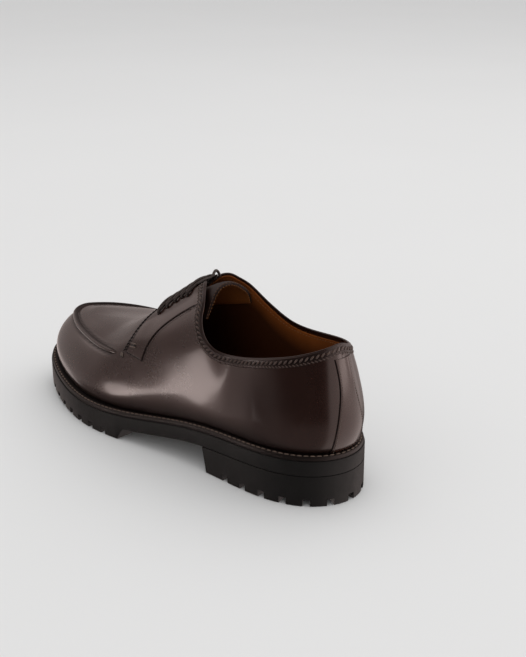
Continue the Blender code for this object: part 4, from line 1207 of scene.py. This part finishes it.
tongue_turn, tongue_side = row_spline(TONGUE_ROWS, TONGUE_LENGTHS).T
half_share = np.linspace(0, 1, TONGUE_HALF)
rising = tongue_side[:, None] * (1 - half_share) + math.pi / 2 * half_share
turned = tongue_turn[:, None] + 0 * rising
tongue_angle = np.concatenate([-turned, turned[:, :-1]], 1)
tongue_lift = np.concatenate([rising, rising[:, -2::-1]], 1)
under = last_offset(tongue_angle, tongue_lift, -UPPER_WALL - TONGUE_CLEAR)
rear = np.degrees(row_spline(TONGUE_EDGE_ROWS, tongue_lift.shape[1]))
free = settled((np.linspace(0, 1, TONGUE_LENGTHS) - TONGUE_FREE) / (1 - TONGUE_FREE))[:, None, None]
tongue_top = under * (1 - free) + rear * free
tongue_up = unit(np.cross(np.gradient(tongue_top, axis=0), np.gradient(tongue_top, axis=1)))
from_outer, from_inner, _, from_rear = rim_distance(tongue_top)
from_rim = np.minimum(np.minimum(from_outer, from_inner), from_rear)
round_off = eased(from_rim, TONGUE_THICK / 2)[..., None]
half_thick = TONGUE_THICK / 2 * (0.25 + 0.75 * round_off)
tongue_middle = tongue_top - tongue_up * TONGUE_THICK / 2
tongue = sheet("tongue_flap", tongue_middle + tongue_up * half_thick, tongue_middle - tongue_up * half_thick,
               inner_look=1)
for face in tongue.data.polygons:
    if nearest_on(np.array([face.center]) / MM + MIDDLE, tongue_middle[-1])[0][0] < TONGUE_TURN:
        face.material_index = 0
# The tongue's calf is darker than the upper's and has no coat: painted shade for the dim gap inside the collar.
tongue_calf = calf("tongue_calf", (0.0120, 0.0043, 0.0028), (0.0070, 0.0025, 0.0017), 0.55, 0.0)
tongue_thread = thread("tongue_thread", (0.13, 0.055, 0.022), 0.5)
tongue_tan = lining_leather("tongue_tan", (0.22, 0.070, 0.013), (0.14, 0.042, 0.007))
fitted(tongue, [tongue_calf, tongue_tan], ["tongue"], 60.0)
for name, way, look in (("outside", 1.0, tongue_thread), ("inside", -1.0, lining_thread)):
    line = (tongue_middle + tongue_up * TONGUE_THICK / 2 * way)[TONGUE_STITCH_ROW]
    sewn_row("tongue_stitches_" + name, line, tongue_up[TONGUE_STITCH_ROW], FINE_PITCH, SEAM_STITCH, look)

# Lace: round waxed dark cotton, run straight across between each pair of eyelets and down through them.
# Each bar is two strands that spread between the eyelets; the top one keeps a small slack loop at its end.
LACE_RADIUS = 1.0
LACE_CLEAR = FACING_THICK + FACING_SEAT + LACE_RADIUS + 0.1
LACE_OUT = 1.0
LACE_SPREAD = 1.9
LACE_ARCH = 0.4
LACE_SIDES = 14
LACE_POINTS = 30
LACE_FINENESS = 4
LACE_TUCK = np.array([-3.2, -1.6])
PLAIT = 2.6
LOOP_HEIGHT = 4.6
LOOP_PLACE = 0.62
LOOP_WIDTH = 0.3


def angle_across(along, lift, side):
    """Angle at which the last passes a station at a given lift."""
    low = np.full_like(lift, math.radians(60.0))
    high = np.full_like(lift, math.radians(120.0))
    for _ in range(40):
        middle = (low + high) / 2
        short = last_point(side * middle, lift)[:, 1] < along
        low = np.where(short, middle, low)
        high = np.where(short, high, middle)
    return side * middle


def lace_cotton(name):
    """Round braid: dark waxed cotton with a fine diamond plait along the mark called plait."""
    finish = Finish(name, roughness=0.32)
    plait = finish.mark("plait")
    finish.feed("Base Color", finish.mix(plait, (0.006, 0.0036, 0.003), (0.036, 0.0225, 0.0185)))
    finish.bump(plait, 0.0002, 0.6)
    return finish.material


def lace_strand(name, outer, inner, shift, loop):
    """One strand from under one eyelet, up through it, over the throat and down through the other."""
    rise = np.linspace(outer[1], math.pi / 2, LACE_POINTS)
    fall = np.linspace(math.pi / 2, inner[1], LACE_POINTS)[1:]
    along = np.linspace(last_point(*outer)[1], last_point(*inner)[1], 2 * LACE_POINTS - 1)
    angles = np.concatenate([angle_across(along[:LACE_POINTS], rise, -1),
                             angle_across(along[LACE_POINTS:], fall, 1)])
    lifts = np.concatenate([rise, fall])
    share = np.linspace(-1, 1, len(angles))
    swell = np.clip(1 - share * share, 0, 1)
    height = LACE_OUT + (LACE_CLEAR - LACE_OUT) * np.clip(swell * 6, 0, 1) ** 0.6 + LACE_ARCH * swell
    height += loop * bell(share - LOOP_PLACE, LOOP_WIDTH) * np.clip(swell * 4, 0, 1)
    path = last_offset(angles, lifts, height)
    start = last_offset(angles[0], lifts[0], LACE_TUCK)
    end = last_offset(angles[-1], lifts[-1], LACE_TUCK[::-1])
    path = np.concatenate([start, path, end])
    swell = np.concatenate([[0, 0], swell, [0, 0]])
    path[:, 1] += shift * (0.1 + 0.9 * swell ** 0.8)
    index = np.arange(len(path))
    dense = np.linspace(0, len(path) - 1, LACE_FINENESS * len(path))
    radius = LACE_RADIUS * (0.8 + 0.2 * np.clip(np.interp(dense, index, swell) * 5, 0, 1))
    path = np.stack([spline(index, path[:, k])(dense) for k in range(3)], -1)
    run = run_along(path)[:, None] * PLAIT
    turn = np.append(np.arange(LACE_SIDES), 0) * 2 * math.pi / LACE_SIDES
    plait = 0.5 + 0.5 * np.sin(run + 2 * turn) * np.sin(run - 2 * turn)
    rings = tube(path, radius, LACE_SIDES, np.tile((0.0, 1.0, 0.3), (len(path), 1)))
    return closed_up(laid_grid(name, rings, {"plait": plait}))


lace_look = lace_cotton("lace_braid")
for number, (outer, inner) in enumerate(zip(eyelets(-1), eyelets(1)), 1):
    loop = LOOP_HEIGHT if number == len(EYELET_ROWS) else 0.0
    strands = joined([lace_strand("lace_strands_%d" % number, outer, inner, -LACE_SPREAD, loop),
                      lace_strand("lace_second", outer, inner, LACE_SPREAD, 0.0)])
    fitted(strands, [lace_look], ["lace_bar_%d" % number], 80.0)

# Floor, light and camera: a plain pale paper floor under an even sky and one soft box overhead.
# The studio's panels and its window are painted on a sphere and a card that show only in the polish.
# The camera stands at the photograph's viewpoint.
FLOOR_SIZE = 30.0
ROOM_CENTRE = np.array([0.0, 0.0, 50.0])
ROOM_DISTANCE = 6000.0
ROOM_GLOW = 0.4
ROOM_BRIGHTEST = 4.0
# Soft panels of the studio: bearing, half width, lowest and highest height, softness, glow
ROOM_PANELS = (
    (0.0, 181.0, -100.0, -22.0, 6.0, 0.12), (18.0, 26.0, -60.0, -16.0, 6.0, 0.9),
    (-25.0, 22.0, 13.0, 60.0, 8.0, 1.0), (135.0, 45.0, -100.0, 100.0, 14.0, 1.0),
    (-170.0, 20.0, -100.0, 100.0, 14.0, 0.8), (-110.0, 54.0, -100.0, 100.0, 10.0, 0.21),
    (-110.0, 54.0, -14.0, 100.0, 8.0, 0.04), (148.0, 13.0, -2.0, 6.0, 4.0, 3.2))
# Bright window: bearing and height of its lower and upper corners
WINDOW_CORNERS = (((-62.0, -23.0), (-62.0, -19.0)), ((-50.0, -22.5), (-50.0, -8.0)))
WINDOW_GLOW = 6.5
WINDOW_DISTANCE = 0.95 * ROOM_DISTANCE
GLOW_COLOUR = (1.0, 0.855, 0.815)
SKY_COLOUR = (0.985, 0.99, 1.0, 1.0)
SKY_STRENGTH = 0.75
SOFT_BOX_PLACE = (0.5, -0.2, 2.0)
SOFT_BOX_SIZE = 3.0
SOFT_BOX_POWER = 17.0
CAMERA_PLACE = (-0.5090, -0.5861, 0.3699)
CAMERA_TURN = (90.0 - 20.717, 0.0, -44.779)
CAMERA_FOCAL_PIXELS = 1165.66
IMAGE_HEIGHT = 657
SENSOR = 36.0

bpy.ops.object.select_all(action="DESELECT")
bpy.ops.mesh.primitive_plane_add(size=FLOOR_SIZE, location=(0.0, 0.0, 0.0))
floor = bpy.context.active_object
floor.name = "floor"
paper = Finish("floor_paper", roughness=0.9, specular_ior_level=0.1)
paper.feed("Base Color", paper.mix(paper.noise(3.0, 2.0), (0.795, 0.79, 0.782), (0.815, 0.81, 0.802)))
floor.data.materials.append(paper.material)
floor.visible_glossy = False

world = bpy.data.worlds.new("studio")
bpy.context.scene.world = world
world.use_nodes = True
sky = world.node_tree.nodes["Background"]
sky.inputs["Color"].default_value = SKY_COLOUR
sky.inputs["Strength"].default_value = SKY_STRENGTH


def polish_only(made, strength):
    """Make a mesh glow by its mark called glow, in the polish alone: it is not seen and lights nothing."""
    face = Finish(made.name + "_face", base_color=(0.0, 0.0, 0.0, 1.0), specular_ior_level=0.0,
                  emission_strength=strength)
    face.feed("Emission Color", face.mix(face.mark("glow"), (0.0, 0.0, 0.0), GLOW_COLOUR))
    face.material.cycles.emission_sampling = "NONE"
    made.data.materials.append(face.material)
    for way in ("camera", "diffuse", "transmission", "volume_scatter", "shadow"):
        setattr(made, "visible_" + way, False)


def toward(bearing, height, distance):
    """Point seen from the middle of the shoe at a bearing from the toe and a height, both in degrees."""
    bearing, height = np.radians(bearing), np.radians(height)
    way = np.stack([np.sin(bearing) * np.cos(height), np.cos(bearing) * np.cos(height), np.sin(height)], -1)
    return ROOM_CENTRE + MIDDLE + way * distance


def surround():
    """Studio round the shoe: soft panels painted on a sphere, each over the ones before it."""
    bearing, height = np.meshgrid(np.linspace(-180, 180, 181), np.linspace(-89.9, 89.9, 91))
    glow = np.full(bearing.shape, ROOM_GLOW)
    for turn, wide, low, high, soft, level in ROOM_PANELS:
        aside = np.abs((bearing - turn + 180) % 360 - 180)
        cover = settled((wide - aside) / soft + 0.5) * settled((height - low) / soft + 0.5)
        cover = cover * settled((high - height) / soft + 0.5)
        glow = glow * (1 - cover) + level * cover
    made = laid_grid("surround", toward(bearing, height, ROOM_DISTANCE), {"glow": glow / ROOM_BRIGHTEST})
    polish_only(made, ROOM_BRIGHTEST)


surround()
corners = toward(*np.moveaxis(np.array(WINDOW_CORNERS), -1, 0), WINDOW_DISTANCE)
polish_only(laid_grid("window_card", corners, {"glow": np.ones(corners.shape[:2])}), WINDOW_GLOW)

lamp = bpy.data.lights.new("overhead", "AREA")
lamp.shape = "RECTANGLE"
lamp.size = lamp.size_y = SOFT_BOX_SIZE
lamp.energy = SOFT_BOX_POWER
soft_box = bpy.data.objects.new("overhead", lamp)
bpy.context.scene.collection.objects.link(soft_box)
soft_box.location = SOFT_BOX_PLACE
soft_box.rotation_euler = (-Vector(SOFT_BOX_PLACE)).to_track_quat("-Z", "Y").to_euler()
soft_box.visible_glossy = False

camera_data = bpy.data.cameras.new("view")
camera_data.sensor_width = SENSOR
camera_data.lens = CAMERA_FOCAL_PIXELS * SENSOR / IMAGE_HEIGHT
camera = bpy.data.objects.new("view", camera_data)
bpy.context.scene.collection.objects.link(camera)
camera.location = CAMERA_PLACE
camera.rotation_euler = [math.radians(part) for part in CAMERA_TURN]
bpy.context.scene.camera = camera
bpy.context.scene.view_settings.view_transform = "Standard"
